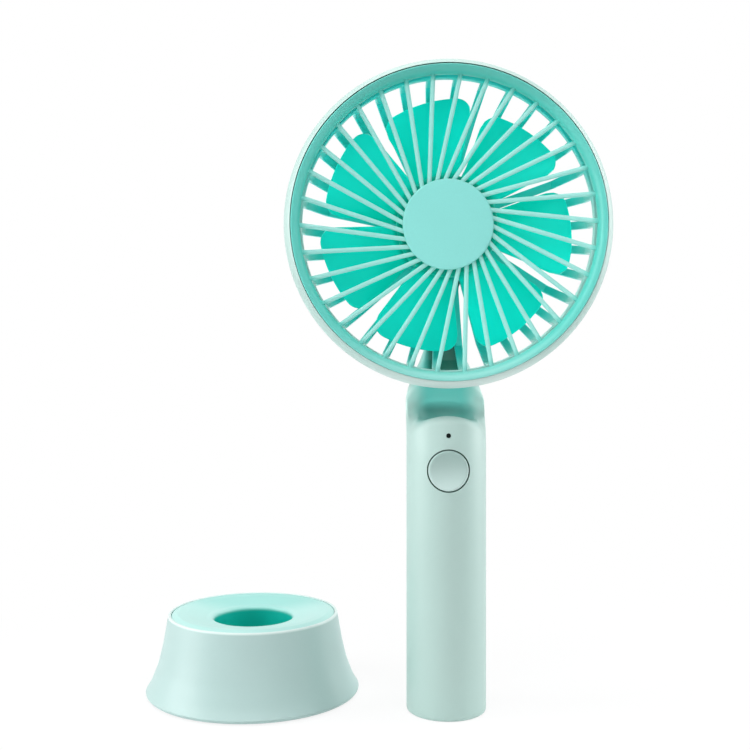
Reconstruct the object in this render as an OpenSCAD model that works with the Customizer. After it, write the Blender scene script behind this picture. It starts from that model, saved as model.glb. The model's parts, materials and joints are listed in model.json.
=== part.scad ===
// Handheld electric fan with a round guarded head and a separate desk stand.
// The handle's foot stands at the origin, +Z runs up the handle and the fan blows towards -Y.

/* [Handle] */
// Outside diameter of the handle tube
handle_d = 26; // [24:0.5:32]
// Wall of the handle shells
shell_wall = 1.8; // [1.4:0.1:2.2]
// Height of the front lip above the top edge of the control board
lip_over_board = 6.5; // [6:0.1:9]
// Radius of the rounded front lip
lip_r = 2; // [1.6:0.1:3]
// Depth of the scoop below the top of the lip
scoop_depth = 5.8; // [4.5:0.1:6.5]
// Radius of the scoop behind the lip
scoop_r = 9; // [8:0.5:10]
// How far below the lip the neck starts to lean back
bend_drop = 9.8; // [8:0.1:12]
// Backward lean of the neck in degrees
neck_lean = 16; // [13:1:18]
// Half width of the neck below the motor pod
neck_half_w = 5; // [4:0.5:7]
// Radius of the lead channel inside the neck
channel_r = 2.2; // [1.8:0.1:2.6]
// Rounded edge of the foot
foot_fillet = 1.2; // [0.6:0.1:1.6]
// Distance of the shells' parting plane behind the handle's axis
parting_y = 2; // [1:0.5:4]
// Thickness of the end cap in the foot
cap_t = 2.5; // [2:0.1:4]
// Width of the ribs that cradle the battery
cradle_w = 1.2; // [0.8:0.1:2]

/* [Head] */
// Outside diameter of the pale rim
head_d = 104.6; // [92:0.2:130]
// Gap between the handle's lip and the bottom of the rim
head_gap = 7.6; // [6:0.1:12]
// Reach of the ring's front edge in front of the handle's axis
ring_reach = 16; // [14:0.5:20]
// Width of the rim seen from the front
rim_band = 2.5; // [2.2:0.1:4]
// Radius of the rim's rounded front
rim_bow = 6; // [5:0.5:8]
// Depth of the rim from its front edge to its rear edge
rim_depth = 10; // [9.5:0.1:12]
// How far the rim's front edge sits behind the ring's front edge
rim_setback = 0.8; // [0.4:0.1:1.5]

/* [Front grille] */
// Width of the ring's slanted face
ring_face = 2.8; // [2:0.1:4]
// How far the ring's face slopes back towards the middle
ring_slope = 2; // [1:0.1:3]
// Depth of the ring's inner wall
ring_depth = 2; // [1.8:0.1:3]
// Depth of the ring with the skirt that plugs into the rim
skirt_depth = 6; // [5:0.1:6]
// Wall of the skirt
skirt_wall = 1.5; // [1.2:0.1:1.8]
// Number of spokes
spoke_n = 34; // [24:1:40]
// Width of a spoke
spoke_w = 1.52; // [1.2:0.02:2]
// Thickness of a spoke
spoke_t = 1.5; // [1.2:0.1:1.8]
// Radius of the circle that the spokes are tangent to
spoke_tangent = 6.6; // [3:0.1:9]
// Angle of the first spoke's outer end, clockwise from the top
spoke_phase = 3.1; // [0:0.1:10]
// Diameter of the centre cap
cap_d = 29; // [26:0.5:34]
// How far the cap's face sits behind the ring's front edge
cap_recess = 5.5; // [4:0.1:7]
// Thickness of the centre cap
centre_t = 1.1; // [0.8:0.1:1.6]
// Radius of the peg behind the centre cap
peg_r = 3; // [2:0.1:4]
// Thickness of the grille's hub plate
plate_t = 2; // [1.8:0.1:3]
// Angle that one bayonet lug spans
lug_deg = 8; // [5:1:12]
// Height of a bayonet lug above the skirt
lug_rise = 0.8; // [0.6:0.1:1]
// Length of a bayonet lug along the axis
lug_len = 1.4; // [1:0.1:1.6]
// Twist that frees the grille
twist_deg = 12; // [8:1:20]

/* [Impeller] */
// Number of blades
blade_n = 7; // [5:1:9]
// Angle that one blade spans
blade_sweep = 44; // [34:1:45]
// Tip diameter at the front edge of a blade
tip_d = 82; // [74:1:86]
// How much smaller the tip radius is at the rear edge
tip_drop = 1.2; // [0:0.1:4]
// Depth of a blade from its front edge to its rear edge
blade_depth = 10.5; // [8:0.5:10.5]
// Thickness of a blade
blade_t = 1.4; // [1:0.1:1.8]
// Radius of the rounded blade corners
blade_corner = 5; // [2:0.5:6]
// Angle of the first blade's rear edge, clockwise from the top
blade_phase = 19.25; // [0:0.25:51]
// Diameter of the impeller's hub
hub_d = 32.8; // [31:0.2:36]
// Depth of the impeller's hub
hub_depth = 12.6; // [12.2:0.1:14]
// Wall of the hub
hub_wall = 1.4; // [1:0.1:2]
// Radius of the boss that grips the shaft
boss_r = 3; // [2.2:0.1:3.4]
// Length of the boss behind the hub's front wall
boss_len = 1.8; // [1.2:0.1:2]

/* [Rear guard] */
// Number of ribs
rib_n = 34; // [24:1:36]
// Width of a rib
rib_w = 2.4; // [1.6:0.1:2.4]
// Thickness of a rib
rib_t = 2; // [1.6:0.1:2.4]
// Radius of the circle that the ribs are tangent to, below zero where they swirl as the spokes do
rib_tangent = -2; // [-6:0.1:9]
// Angle of the first rib's outer end, clockwise from the top
rib_phase = 4; // [0:0.1:10]
// How far the flange reaches past the bore in front of it
flange_step = 0.35; // [0.3:0.05:0.5]
// Width of the rim's lip behind the flange
rim_lip = 1; // [0.8:0.1:1.2]
// Thickness of the flange inside the rim
flange_t = 3; // [2.4:0.1:3]
// Inner edge of the flange behind the ring's inner edge
flange_inset = 0.4; // [0:0.1:1]
// Diameter of the middle plate
guard_plate_d = 35; // [33:0.5:37]
// Room between the hub and the flat back of the guard
guard_gap = 4.3; // [4:0.1:6]
// Wall of the sleeve that holds the motor
sleeve_wall = 1.6; // [1.2:0.1:2]
// Front wall of the motor seat
seat_wall = 1.2; // [1:0.1:2]

/* [Motor] */
// Diameter of the motor can
motor_d = 20; // [18:0.1:21]
// Length of the motor can
motor_len = 21.5; // [21:0.1:24]
// Wall of the motor can
can_wall = 0.7; // [0.5:0.1:0.9]
// Length of the laminated core
core_len = 9; // [8:0.5:10]
// Thickness of the windings at each end of the core
winding_t = 1.8; // [1:0.1:2]
// Radius of the commutator
commutator_r = 2.2; // [1.8:0.1:2.4]
// Length of the commutator
commutator_len = 2; // [1.5:0.1:2.2]
// Diameter of the shaft
shaft_d = 2; // [1.5:0.1:2.4]
// Thickness of the end bell behind the can
bell_t = 2; // [1.6:0.1:3]
// Radius of the bushes
bush_r = 2.4; // [2:0.1:2.8]
// Thickness of the magnets
magnet_t = 1.6; // [1:0.1:2]
// Distance of the motor screws from the shaft
motor_screw_r = 6; // [5.5:0.1:6.5]
// Outside diameter of the motor pod
pod_d = 33; // [32:0.5:36]
// Rounded rear edge of the motor pod
pod_fillet = 3; // [1:0.1:4]
// Depth of the front shell's part of the pod
pod_split_depth = 5.2; // [4.8:0.1:6]
// Room round the motor inside the pod
pod_room = 2.2; // [2:0.1:2.4]
// Depth of the screw heads in the front of the pod
pod_sink = 1.5; // [1.4:0.1:1.8]
// Length of the pod screws
pod_screw_len = 7.5; // [6.5:0.1:8.5]
// Room behind the end bell for terminals and leads
pod_gap = 1.7; // [1.6:0.1:3]

/* [Button and light] */
// Diameter of the push button
button_d = 13.1; // [11:0.1:14]
// Thickness of the push button
button_t = 2.7; // [2.4:0.1:3]
// Depth of the dish in the button's face
button_dish = 0.7; // [0.3:0.1:1]
// Width of the flat rim round the dish
button_rim = 0.45; // [0.3:0.05:1]
// Distance of the button below the lip
button_drop = 18.4; // [18:0.1:19]
// Travel of the button
button_travel = 0.5; // [0.3:0.1:0.6]
// Reach of the tabs that keep the button in
button_tab = 0.8; // [0.6:0.1:1]
// Diameter of the indicator window
led_d = 1.4; // [1:0.1:2]
// Distance of the indicator below the lip
led_drop = 7.3; // [7.2:0.1:8]

/* [Electronics] */
// Diameter of the battery cell
cell_d = 18.3; // [14:0.1:18.6]
// Length of the battery cell
cell_len = 65; // [49:0.5:70]
// Thickness of the foam pad under the cell
pad_t = 1.35; // [1:0.05:2]
// Thickness of the nickel tabs
tab_t = 0.15; // [0.1:0.05:0.3]
// Height of the cell's raised terminal
terminal_h = 1; // [0.6:0.1:1.4]
// Width of the control board
board_w = 14.6; // [12:0.1:15]
// Height of the control board
board_h = 20.7; // [20:0.1:24]
// Thickness of both boards
board_t = 1.2; // [0.8:0.1:1.6]
// Side of the square tactile switch
switch_w = 6; // [4:0.5:7]
// Thickness of the tactile switch
switch_t = 1.5; // [1.2:0.1:2]
// How far the plunger stands out of the switch
plunger_rise = 0.8; // [0.7:0.1:1]
// Radius of the plunger
plunger_r = 1.7; // [1:0.1:2]
// Height of the charging port above the board's lower edge
port_rise = 7.2; // [6:0.1:8]
// Width of the charging socket
port_w = 8.94; // [7:0.02:9.2]
// Height of the charging socket
port_h = 3.2; // [2.4:0.02:3.4]
// Depth of the charging socket
port_depth = 7.3; // [6:0.1:8]
// Radius of the leads
lead_r = 0.55; // [0.4:0.05:0.7]

/* [Fasteners] */
// Thread radius of the screws
screw_r = 0.95; // [0.8:0.05:1]
// Radius of a screw head
screw_head_r = 1.75; // [1.5:0.05:1.8]
// Height of a screw head
screw_head_h = 1.3; // [1:0.1:1.5]
// Height of the flat heads under the stand
flat_head_h = 0.7; // [0.5:0.05:0.8]

/* [Stand] */
// Outside diameter of the stand's foot
stand_base_d = 72.7; // [64:0.1:90]
// Outside diameter of the stand's top
stand_top_d = 57.8; // [50:0.1:62]
// Height of the stand
stand_h = 26.8; // [24:0.1:34]
// Inward bow of the flared skirt
skirt_bow = 0.9; // [0.4:0.1:2]
// Wall of the stand's skirt
stand_wall = 2; // [1.5:0.1:2.5]
// Depth of the socket for the handle
socket_depth = 20.1; // [16:0.1:20.5]
// Wall of the socket cup
socket_wall = 1.8; // [1.4:0.1:2.4]
// How much lower the dish is at the socket than at the edge
dish_drop = 1.1; // [0.5:0.1:2]
// Distance of the stand's axis to the left of the handle's axis
stand_left = 65.3; // [60:0.1:120]
// Distance of the stand's axis behind the handle's axis
stand_behind = 20; // [0:0.5:40]
// Gap between the skirt's edge and the floor
stand_lift = 0.4; // [0.2:0.1:0.6]
// Radius of the skirt's rounded lower edge
skirt_edge = 1.2; // [0.8:0.1:1.5]
// How far the dished top sits below the skirt's upper edge
top_set = 0.8; // [0.4:0.1:1.2]
// Thickness of the dished top at its edge
top_t = 2; // [1.6:0.1:2.4]
// Thickness of the ledge that carries the dished top
ledge_t = 1.5; // [1.2:0.1:2]
// Radius of the screw posts under the top
post_r = 2.8; // [2.4:0.1:3.2]
// Distance of the screw posts from the stand's axis
post_ring = 21.5; // [19.5:0.1:22]
// Thickness of the stand's base plate
base_t = 1.6; // [1.2:0.1:2]
// Thickness of the non-slip foot ring
foot_t = 1; // [0.6:0.1:1.5]

/* [Clearances] */
// Radial gap between the grille and the rim
seam = 0.25; // [0.15:0.05:0.4]
// Radial gap round the button
button_gap = 0.25; // [0.15:0.05:0.4]
// Running gap between the shaft and its bushes
shaft_gap = 0.04; // [0.02:0.01:0.08]
// Gap between fixed pieces that plug together
fit = 0.1; // [0.05:0.01:0.2]
// Radial gap between pressed or screwed pieces
press = 0.02; // [0.01:0.01:0.03]
// Room between the battery's pad and the control board
board_room = 0.45; // [0.3:0.05:0.8]
// Gap between the grille's skirt and the guard's flange
skirt_gap = 0.5; // [0.3:0.1:0.6]
// Gap between the grille's plate and the impeller
hub_gap = 0.8; // [0.5:0.1:1.5]
// Room in front of the motor seat inside the hub
seat_gap = 3; // [2.8:0.1:4]
// Radial gap between the handle and the stand's socket
socket_gap = 0.4; // [0.2:0.05:0.8]
// Radial gap between the cell and its cradle
cell_gap = 0.2; // [0.1:0.05:0.5]

/* [Hidden] */
$fn = 96;
eps = 0.01;
far = 300;

// Heights along the handle, from the foot up
handle_r = handle_d / 2;
inner_r = handle_r - shell_wall;
cell_r = cell_d / 2;
cell_z = cap_t + pad_t + tab_t;
cell_top = cell_z + cell_len;
top_pad_t = terminal_h + tab_t;
board_z = cell_top + top_pad_t + board_room;
board_top = board_z + board_h;
lip_z = board_top + lip_over_board;
bend_z = lip_z - bend_drop;
button_z = lip_z - button_drop;
led_z = lip_z - led_drop;
port_z = board_z + port_rise;

// Head, with depths measured along +Y from the handle's axis
head_r = head_d / 2;
head_z = lip_z + head_gap + head_r;
ring_r = head_r - rim_band;
ring_in_r = ring_r - ring_face;
ring_front = -ring_reach;
ring_in_front = ring_front + ring_slope;
skirt_back = ring_front + skirt_depth;
rim_front = ring_front + rim_setback;
rim_back = rim_front + rim_depth;
rim_in_r = ring_r + seam;
rim_bow_c = [head_r - rim_bow, rim_front + sqrt(pow(rim_bow, 2) - pow(rim_in_r - head_r + rim_bow, 2))];
rim_taper = 0.7;
cap_r = cap_d / 2;
cap_front = ring_front + cap_recess;
cap_back = cap_front + centre_t;
plate_back = cap_back + plate_t;
hub_front = plate_back + hub_gap;
hub_in = hub_front + hub_wall;
hub_r = hub_d / 2;
hub_back = hub_front + hub_depth;
blade_set = 1.1;
blade_cols = 10;
blade_rows = 4;
guard_in = hub_back + guard_gap;
guard_back = guard_in + rib_t;
plate_lap = 0.3;
guard_plate_front = guard_in - plate_lap;
rib_back = guard_back - 0.2;
flange_front = skirt_back + skirt_gap;
flange_back = flange_front + flange_t;
flange_in_r = ring_in_r - flange_inset;
flange_r = rim_in_r + flange_step;
rim_lip_r = flange_r - rim_lip;
bowl_r = rim_lip_r - 0.8;
lug_back = skirt_back - 0.6;
lug_front = lug_back - lug_len;
lug_angles = [-30, 90, 210];

// Motor and pod along the same axis
motor_r = motor_d / 2;
shaft_r = shaft_d / 2;
seat_front = hub_in + seat_gap;
can_front = seat_front + seat_wall;
can_back = can_front + motor_len;
bell_back = can_back + bell_t;
pod_in = bell_back + pod_gap;
pod_back = pod_in + shell_wall;
pod_r = pod_d / 2;
pod_in_r = motor_r + pod_room;
pod_split = guard_back + pod_split_depth;
pod_bolt_r = (pod_r + pod_in_r) / 2;
guard_bolt_angles = [-90, 30, 150];
pod_bolt_angles = [-30, 210];
motor_bolt_angles = [0, 180];
sleeve_r = motor_r + fit + sleeve_wall;
bush_len = 2;
magnet_out = motor_r - can_wall - fit;
core_front = can_front + 6;
core_back = core_front + core_len;
core_r = magnet_out - magnet_t - 0.5;
commutator_front = core_back + winding_t + 0.2;
bell_lip = 1;
brush_t = 0.3;
brush_w = 2.4;
brush_front = commutator_front + 0.3;

// Button and boards, from the front of the handle inwards
button_r = button_d / 2;
button_face = -handle_r;
button_back = button_face + button_t;
switch_front = button_back + plunger_rise;
board_front = switch_front + switch_t;
board_back = board_front + board_t;
tab_reach = 1.4;
led_side = 0.8;

// Scoop and neck in the middle plane, as [y, z]
lip_proud = 0.15;
lip_c = [-handle_r + lip_r - lip_proud, lip_z - lip_r];
scoop_c_z = lip_z - scoop_depth + scoop_r;
scoop_c = [lip_c[0] + sqrt(pow(scoop_r + lip_r, 2) - pow(scoop_c_z - lip_c[1], 2)), scoop_c_z];
neck_seat = [guard_back, head_z - flange_r + 6.6];
seat_dir = neck_seat - scoop_c;
tangent_deg = atan2(seat_dir[1], seat_dir[0]) - acos(scoop_r / norm(seat_dir));
neck_foot = scoop_c + scoop_r * [cos(tangent_deg), sin(tangent_deg)];

// Half width of the neck as [half width, height above the bottom of the rim]
neck_widths = [
    [handle_r, -7.4],
    [handle_r - 0.5, -0.9],
    [neck_half_w + 1.4, 11.1],
    [neck_half_w, 18.6],
];

// Middle of the neck, where the shells part and the leads run
neck_mid_t = 4.3;
mid_low = neck_foot + [neck_mid_t, 0];
mid_high = neck_seat + [neck_mid_t + 0.2, 0];
mid_pod = [pod_split, neck_seat[1] + 11];
channel_start = [parting_y + 4.5, mid_low[1] - 12];
parting_bend = mid_low[1] - 16;
parting_line = [
    [parting_y, -1],
    [parting_y, parting_bend],
    mid_low,
    mid_high,
    mid_pod,
    [pod_split, far],
];

// Lead routes as [x, y, z], chosen by hand
minus_route = [
    [0, -10.2, 4],
    [0, -10.2, 30],
    [0, -10.2, 61],
    [1.4, -10, 67],
    [3, -9.7, 70.4],
    [3.6, -9.3, 71.8],
    [3.6, -8.6, 72.2],
    [3.6, -8, 72.2],
];
plus_route = [
    [2, -2.6, 70.7],
    [2, -4.4, 71],
    [2, -5.4, 71.9],
    [2, -6.1, 72.6],
    [2, -6.8, 72.6],
];
motor_route = [
    [-6.8, 86],
    [-5.5, 86],
    [-3, 85.6],
    [1, 85],
    [6, 86.6],
    [9, 92.2],
    [11.6, 98.4],
    [14.2, 106],
    [16.6, 113.6],
    [17.4, 120],
    [17.5, 128],
    [17.5, 142],
    [18.2, 145.4],
    [19.6, 146.6],
    [21.4, 146.8],
    [23, 147.1],
    [23.2, 148.6],
    [23.2, 150.5],
];
lead_spread = 0.9;
lead_fan = 0.75;

// Stand
base_r = stand_base_d / 2;
top_r = stand_top_d / 2;
socket_r = handle_r + socket_gap;
top_edge = stand_h - top_set;
top_ledge = top_edge - top_t;
ledge_under = top_ledge - ledge_t;
dish_low = top_edge - dish_drop;
socket_floor = dish_low - socket_depth;
skirt_top = [top_r, stand_h];
skirt_low = [base_r, stand_lift + skirt_edge];
skirt_chord = skirt_low - skirt_top;
skirt_arc_r = pow(norm(skirt_chord), 2) / (8 * skirt_bow) + skirt_bow / 2;
skirt_normal = [-skirt_chord[1], skirt_chord[0]] / norm(skirt_chord);
skirt_c = (skirt_top + skirt_low) / 2 + skirt_normal * (skirt_arc_r - skirt_bow);
insert_r = top_r - stand_wall - fit;
ledge_in_r = insert_r - 2.5;
base_plate_z = foot_t;
base_plate_top = base_plate_z + base_t;
base_plate_r = base_r - stand_wall - skirt_edge;
base_sink = 0.8;
post_angles = [30, 150, 270];

pale = [0.72, 0.85, 0.83];
mint = [0.45, 0.84, 0.79];
teal = [0.05, 0.78, 0.69];

// Places children in the head's frame: local z is depth, local y points down
module in_head() {
    translate([0, 0, head_z])
        rotate([-90, 0, 0])
            children();
}

// Lays a flat [y, z] outline across the handle, from side to side
module across(width) {
    rotate([90, 0, 90])
        linear_extrude(width, center = true)
            children();
}

// Cylinder along +Y at a height on the handle
module pin_y(r, y0, y1, z) {
    translate([0, y0, z])
        rotate([-90, 0, 0])
            cylinder(h = y1 - y0, r = r);
}

// Tube wall around the local axis, between two depths
module sleeve(r_in, r_out, z0, z1) {
    translate([0, 0, z0])
        difference() {
            cylinder(h = z1 - z0, r = r_out);
            translate([0, 0, -1])
                cylinder(h = z1 - z0 + 2, r = r_in);
        }
}

// Round tube swept along a hand-chosen route
function unit(v) = v / norm(v);
function heading(p, i) = unit(p[min(i + 1, len(p) - 1)] - p[max(i - 1, 0)]);
function side_of(t) = unit([1, 0, 0] - t * t[0]);
function ring_at(p, i, r, n) =
    let (t = heading(p, i), b = side_of(t), c = cross(t, b))
    [for (k = [0 : n - 1]) p[i] + r * (cos(360 * k / n) * b + sin(360 * k / n) * c)];

module swept_tube(p, r, n = 8) {
    last = len(p) - 1;
    points = [for (i = [0 : last]) each ring_at(p, i, r, n)];
    walls = [
        for (i = [0 : last - 1])
            for (k = [0 : n - 1])
                let (a = i * n + k, b = i * n + (k + 1) % n)
                each [[a, a + n, b + n], [a, b + n, b]]
    ];
    start_cap = [for (k = [1 : n - 2]) [0, k, k + 1]];
    end_cap_faces = [for (k = [1 : n - 2]) [last * n, last * n + k + 1, last * n + k]];
    polyhedron(points, concat(walls, start_cap, end_cap_faces), convexity = 6);
}

// Self-tapping screw along +z with its head at z = 0 and below
module screw(length, head_h = screw_head_h) {
    translate([0, 0, -head_h])
        cylinder(h = head_h, r = screw_head_r);
    translate([0, 0, -eps])
        cylinder(h = length + eps, r = screw_r - press);
}

// Handle outline: tube with a rounded foot
module tube_form() {
    rotate_extrude() {
        translate([0, foot_fillet])
            square([handle_r, lip_z + 2 - foot_fillet]);
        square([handle_r - foot_fillet, lip_z]);
        translate([handle_r - foot_fillet, foot_fillet])
            circle(foot_fillet);
    }
}

// Points of an arc in the middle plane
function arc(c, r, from, to, n) = [
    for (i = [0 : n])
        let (a = from + (to - from) * i / n)
        c + r * [cos(a), sin(a)]
];

// Space in front of the neck: scoop, rounded lip and everything above them
module scoop_outline() {
    touch = atan2(scoop_c[1] - lip_c[1], scoop_c[0] - lip_c[0]);
    polygon(concat(
        [[-far, lip_c[1]]],
        arc(lip_c, lip_r, 180, touch, 8),
        arc(scoop_c, scoop_r, touch + 180, tangent_deg + 360, 12),
        [neck_seat, [guard_back, far], [-far, far]]
    ));
}

// Width of the neck seen from the front
module neck_outline() {
    half = concat(
        [[handle_r, 0]],
        [for (p = neck_widths) [p[0], head_z - head_r + p[1]]],
        [[neck_half_w, head_z]]
    );
    left = [for (i = [len(half) - 1 : -1 : 0]) [-half[i][0], half[i][1]]];
    polygon(concat(half, left));
}

module neck_form() {
    intersection() {
        translate([0, 0, bend_z])
            rotate([-neck_lean, 0, 0])
                cylinder(h = far, r = handle_r);
        rotate([90, 0, 0])
            linear_extrude(2 * far, center = true)
                neck_outline();
        translate([-far, -far, 0])
            cube([2 * far, far + pod_back - pod_fillet, head_z]);
    }
}

module pod_form() {
    in_head()
        rotate_extrude() {
            translate([0, guard_back])
                square([pod_r, pod_back - pod_fillet - guard_back]);
            translate([0, guard_back])
                square([pod_r - pod_fillet, pod_back - guard_back]);
            translate([pod_r - pod_fillet, pod_back - pod_fillet])
                circle(pod_fillet);
        }
}

// Room inside the handle for the cell and the boards
module handle_hollow() {
    ceiling = scoop_r + shell_wall;
    difference() {
        translate([0, 0, -1])
            cylinder(h = lip_z - lip_r - shell_wall + 1, r = inner_r);
        across(handle_d)
            polygon(concat(
                [[scoop_c[0] - ceiling, far]],
                arc(scoop_c, ceiling, 180, 270, 8),
                [[far, scoop_c[1] - ceiling], [far, far]]
            ));
    }
}

// Channel for the motor leads through the neck
module lead_channel() {
    stops = [channel_start, mid_low, mid_high, mid_pod, [pod_split, head_z - motor_r]];
    swept_tube([for (p = stops) [0, p[0], p[1]]], channel_r);
}

module pod_hollow() {
    in_head()
        translate([0, 0, guard_back - 1])
            cylinder(h = pod_in - guard_back + 1, r = pod_in_r);
}

// Ribs that hold the cell, open at the front and the back for the leads
module cradles() {
    for (z = [cell_z + cell_len * 0.22, cell_z + cell_len * 0.78])
        difference() {
            translate([0, 0, z])
                sleeve(cell_r + cell_gap, inner_r + eps, 0, cradle_w);
            translate([0, 0, z])
                cube([4, handle_d, 4 * cradle_w], center = true);
        }
}

// Both handle shells together, hollow inside
module handle_walls() {
    difference() {
        union() {
            difference() {
                union() {
                    tube_form();
                    neck_form();
                }
                across(handle_d + 2)
                    scoop_outline();
            }
            pod_form();
        }
        handle_hollow();
        lead_channel();
        pod_hollow();
    }
    cradles();
}

module front_side() {
    across(far)
        polygon(concat([[-far, -1]], parting_line, [[-far, far]]));
}

// Rails on which the control board rests
module board_rails() {
    intersection() {
        for (side = [-1, 1])
            translate([side * (board_w / 2 + 0.2) - 1.6, board_front - 1.2, board_z])
                cube([3.2, 1.2, board_h - 1.5]);
        cylinder(h = far, r = inner_r + eps);
    }
}

module handle_front_shell() {
    color(pale)
        difference() {
            union() {
                intersection() {
                    handle_walls();
                    front_side();
                }
                board_rails();
            }
            pin_y(button_r + button_gap, -2 * handle_r, button_back + 1, button_z);
            pin_y(led_d / 2 + fit / 2, -2 * handle_r, board_front, led_z);
            in_head() {
                for (a = guard_bolt_angles)
                    rotate(a)
                        translate([pod_bolt_r, 0, guard_back - 1])
                            cylinder(h = pod_split_depth + 0.4, r = screw_r);
                for (a = pod_bolt_angles)
                    rotate(a)
                        translate([pod_bolt_r, 0, guard_back - 1]) {
                            cylinder(h = pod_sink + 1, r = screw_head_r + fit);
                            cylinder(h = pod_split_depth + 2, r = screw_r + fit);
                        }
            }
        }
}

// Slot with round ends, standing across the handle and running along +Y
module slot_y(w, h, y0, y1, z) {
    for (side = [-1, 1])
        translate([side * (w - h) / 2, 0, 0])
            pin_y(h / 2, y0, y1, z);
    translate([-(w - h) / 2, y0, z - h / 2])
        cube([w - h, y1 - y0, h]);
}

module handle_rear_shell() {
    color(pale)
        difference() {
            intersection() {
                handle_walls();
                difference() {
                    cube(2 * far, center = true);
                    front_side();
                }
            }
            slot_y(port_w + 0.6, port_h + 0.6, 0, 2 * handle_r, port_z);
            in_head()
                for (a = pod_bolt_angles)
                    rotate(a)
                        translate([pod_bolt_r, 0, guard_back])
                            cylinder(h = pod_sink + pod_screw_len + 0.3, r = screw_r);
        }
}

module end_cap() {
    color(pale)
        cylinder(h = cap_t, r = inner_r - fit);
}

module control_board() {
    color("darkgreen")
        translate([-board_w / 2, board_front, board_z])
            cube([board_w, board_t, board_h]);
}

module board_components() {
    // Each row is [x, height above the board's lower edge, width, height, thickness]
    parts = [
        [-3.6, 9.6, 4.4, 4, 1.4],
        [3.4, 9.8, 3.6, 3.6, 2],
        [-4.6, 15.6, 2, 1.2, 0.9],
        [4.6, 15.6, 2, 1.2, 0.9],
        [4.6, 2.2, 2.4, 1.6, 1],
        [-4.6, 2.4, 2, 1.2, 0.9],
    ];
    color("black")
        for (p = parts)
            translate([p[0] - p[2] / 2, board_back, board_z + p[1]])
                cube([p[2], p[4], p[3]]);
}

module indicator_led() {
    color("ivory")
        translate([-led_side, board_front - led_side, led_z - led_side / 2])
            cube([2 * led_side, led_side, led_side]);
}

module indicator_lens() {
    color([0.1, 0.12, 0.12]) {
        pin_y(led_d / 2, -handle_r + fit / 2, board_front - led_side - fit, led_z);
        pin_y(led_d / 2 + 0.6, -inner_r + fit, -inner_r + fit + led_side, led_z);
    }
}

module tact_switch() {
    color("dimgray")
        difference() {
            translate([-switch_w / 2, switch_front, button_z - switch_w / 2])
                cube([switch_w, switch_t, switch_w]);
            pin_y(plunger_r + fit, switch_front - 1, board_front - 0.1, button_z);
        }
}

module charge_board() {
    z = port_z - port_h / 2 - board_t;
    reach = sqrt(pow(inner_r, 2) - pow(board_w / 2, 2)) - 0.4;
    color("darkgreen")
        translate([-board_w / 2, board_back, z])
            cube([board_w, reach - board_back, board_t]);
}

// Depth at which the charging socket meets the inside of the rear wall
function port_mouth() = sqrt(pow(inner_r, 2) - pow(port_w / 2, 2)) - 0.1;

module charging_socket() {
    y1 = port_mouth();
    y0 = y1 - port_depth;
    color("silver")
        difference() {
            slot_y(port_w, port_h, y0, y1, port_z);
            slot_y(port_w - 0.6, port_h - 0.6, y0 + 0.6, y1 + 1, port_z);
        }
}

module charging_tongue() {
    y1 = port_mouth();
    color("black")
        translate([-3.35, y1 - port_depth + 0.6, port_z - 0.35])
            cube([6.7, port_depth - 1.4, 0.7]);
}

module battery_cell() {
    color("seagreen")
        translate([0, 0, cell_z])
            cylinder(h = cell_len, r = cell_r);
}

module battery_terminal() {
    color("silver")
        translate([0, 0, cell_top])
            cylinder(h = terminal_h, r = 3.2);
}

module battery_pads() {
    color("black") {
        translate([0, 0, cap_t])
            cylinder(h = pad_t, r = cell_r - 0.5);
        sleeve(5, cell_r - 0.3, cell_top, cell_top + top_pad_t);
    }
}

module battery_tabs() {
    color("silver") {
        translate([-2, -(cell_r + tab_reach), cell_z - tab_t])
            cube([4, cell_r + tab_reach + 3, tab_t]);
        translate([-1, -3.4, cell_top + terminal_h])
            cube([4, 5, tab_t]);
    }
}

module battery_leads() {
    color("firebrick") {
        swept_tube(minus_route, lead_r);
        swept_tube(plus_route, lead_r);
    }
}

module motor_leads() {
    last = len(motor_route) - 1;
    color("firebrick")
        for (side = [-1, 1])
            swept_tube([
                for (i = [0 : last])
                    let (fan = lead_fan * min(2, max(0, i - last + 3)))
                    [side * (lead_spread + fan), motor_route[i][0], motor_route[i][1]]
            ], lead_r);
}

// Rim of the head, with the grooves in which the grille's lugs turn
module rim_outline() {
    bow_from = -acos((rim_in_r - rim_bow_c[0]) / rim_bow);
    recess = flange_front - 0.2;
    polygon(concat(
        arc(rim_bow_c, rim_bow, bow_from, 0, 8),
        [
            [head_r - rim_taper, rim_back],
            [rim_lip_r, rim_back],
            [rim_lip_r, flange_back],
            [flange_r + fit, flange_back],
            [flange_r + fit, recess],
            [rim_in_r, recess],
        ]
    ));
}

// Sector of a ring round the head's axis
module sector(r_in, r_out, z0, z1, from, sweep) {
    rotate(from)
        rotate_extrude(angle = sweep)
            translate([r_in, z0])
                square([r_out - r_in, z1 - z0]);
}

module head_rim() {
    groove_r = ring_r + lug_rise + seam;
    color(pale)
        in_head()
            difference() {
                rotate_extrude()
                    rim_outline();
                for (a = lug_angles) {
                    sector(ring_r, groove_r, lug_front - seam, lug_back + seam,
                        a - lug_deg / 2 - twist_deg - 2, lug_deg + twist_deg + 3);
                    sector(ring_r, groove_r, rim_front - 1, lug_back,
                        a - lug_deg / 2 - twist_deg - 2, lug_deg + 3);
                }
            }
}

// Side view of one rib, as [distance from the tangent point, depth]
module rib_outline() {
    start = flange_front + flange_t / 2;
    end = guard_plate_d / 2 - 2;
    polygon([
        [bowl_r, start],
        [bowl_r - 1, guard_in - 7.7],
        [bowl_r - 5.1, rib_back - 2.5],
        [bowl_r - 10.1, rib_back],
        [end, rib_back],
        [end, guard_in],
        [bowl_r - 10.7, guard_in],
        [bowl_r - 6.6, guard_in - 2.1],
        [bowl_r - 2.9, guard_in - 8.1],
        [bowl_r - rib_t, start],
    ]);
}

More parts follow.
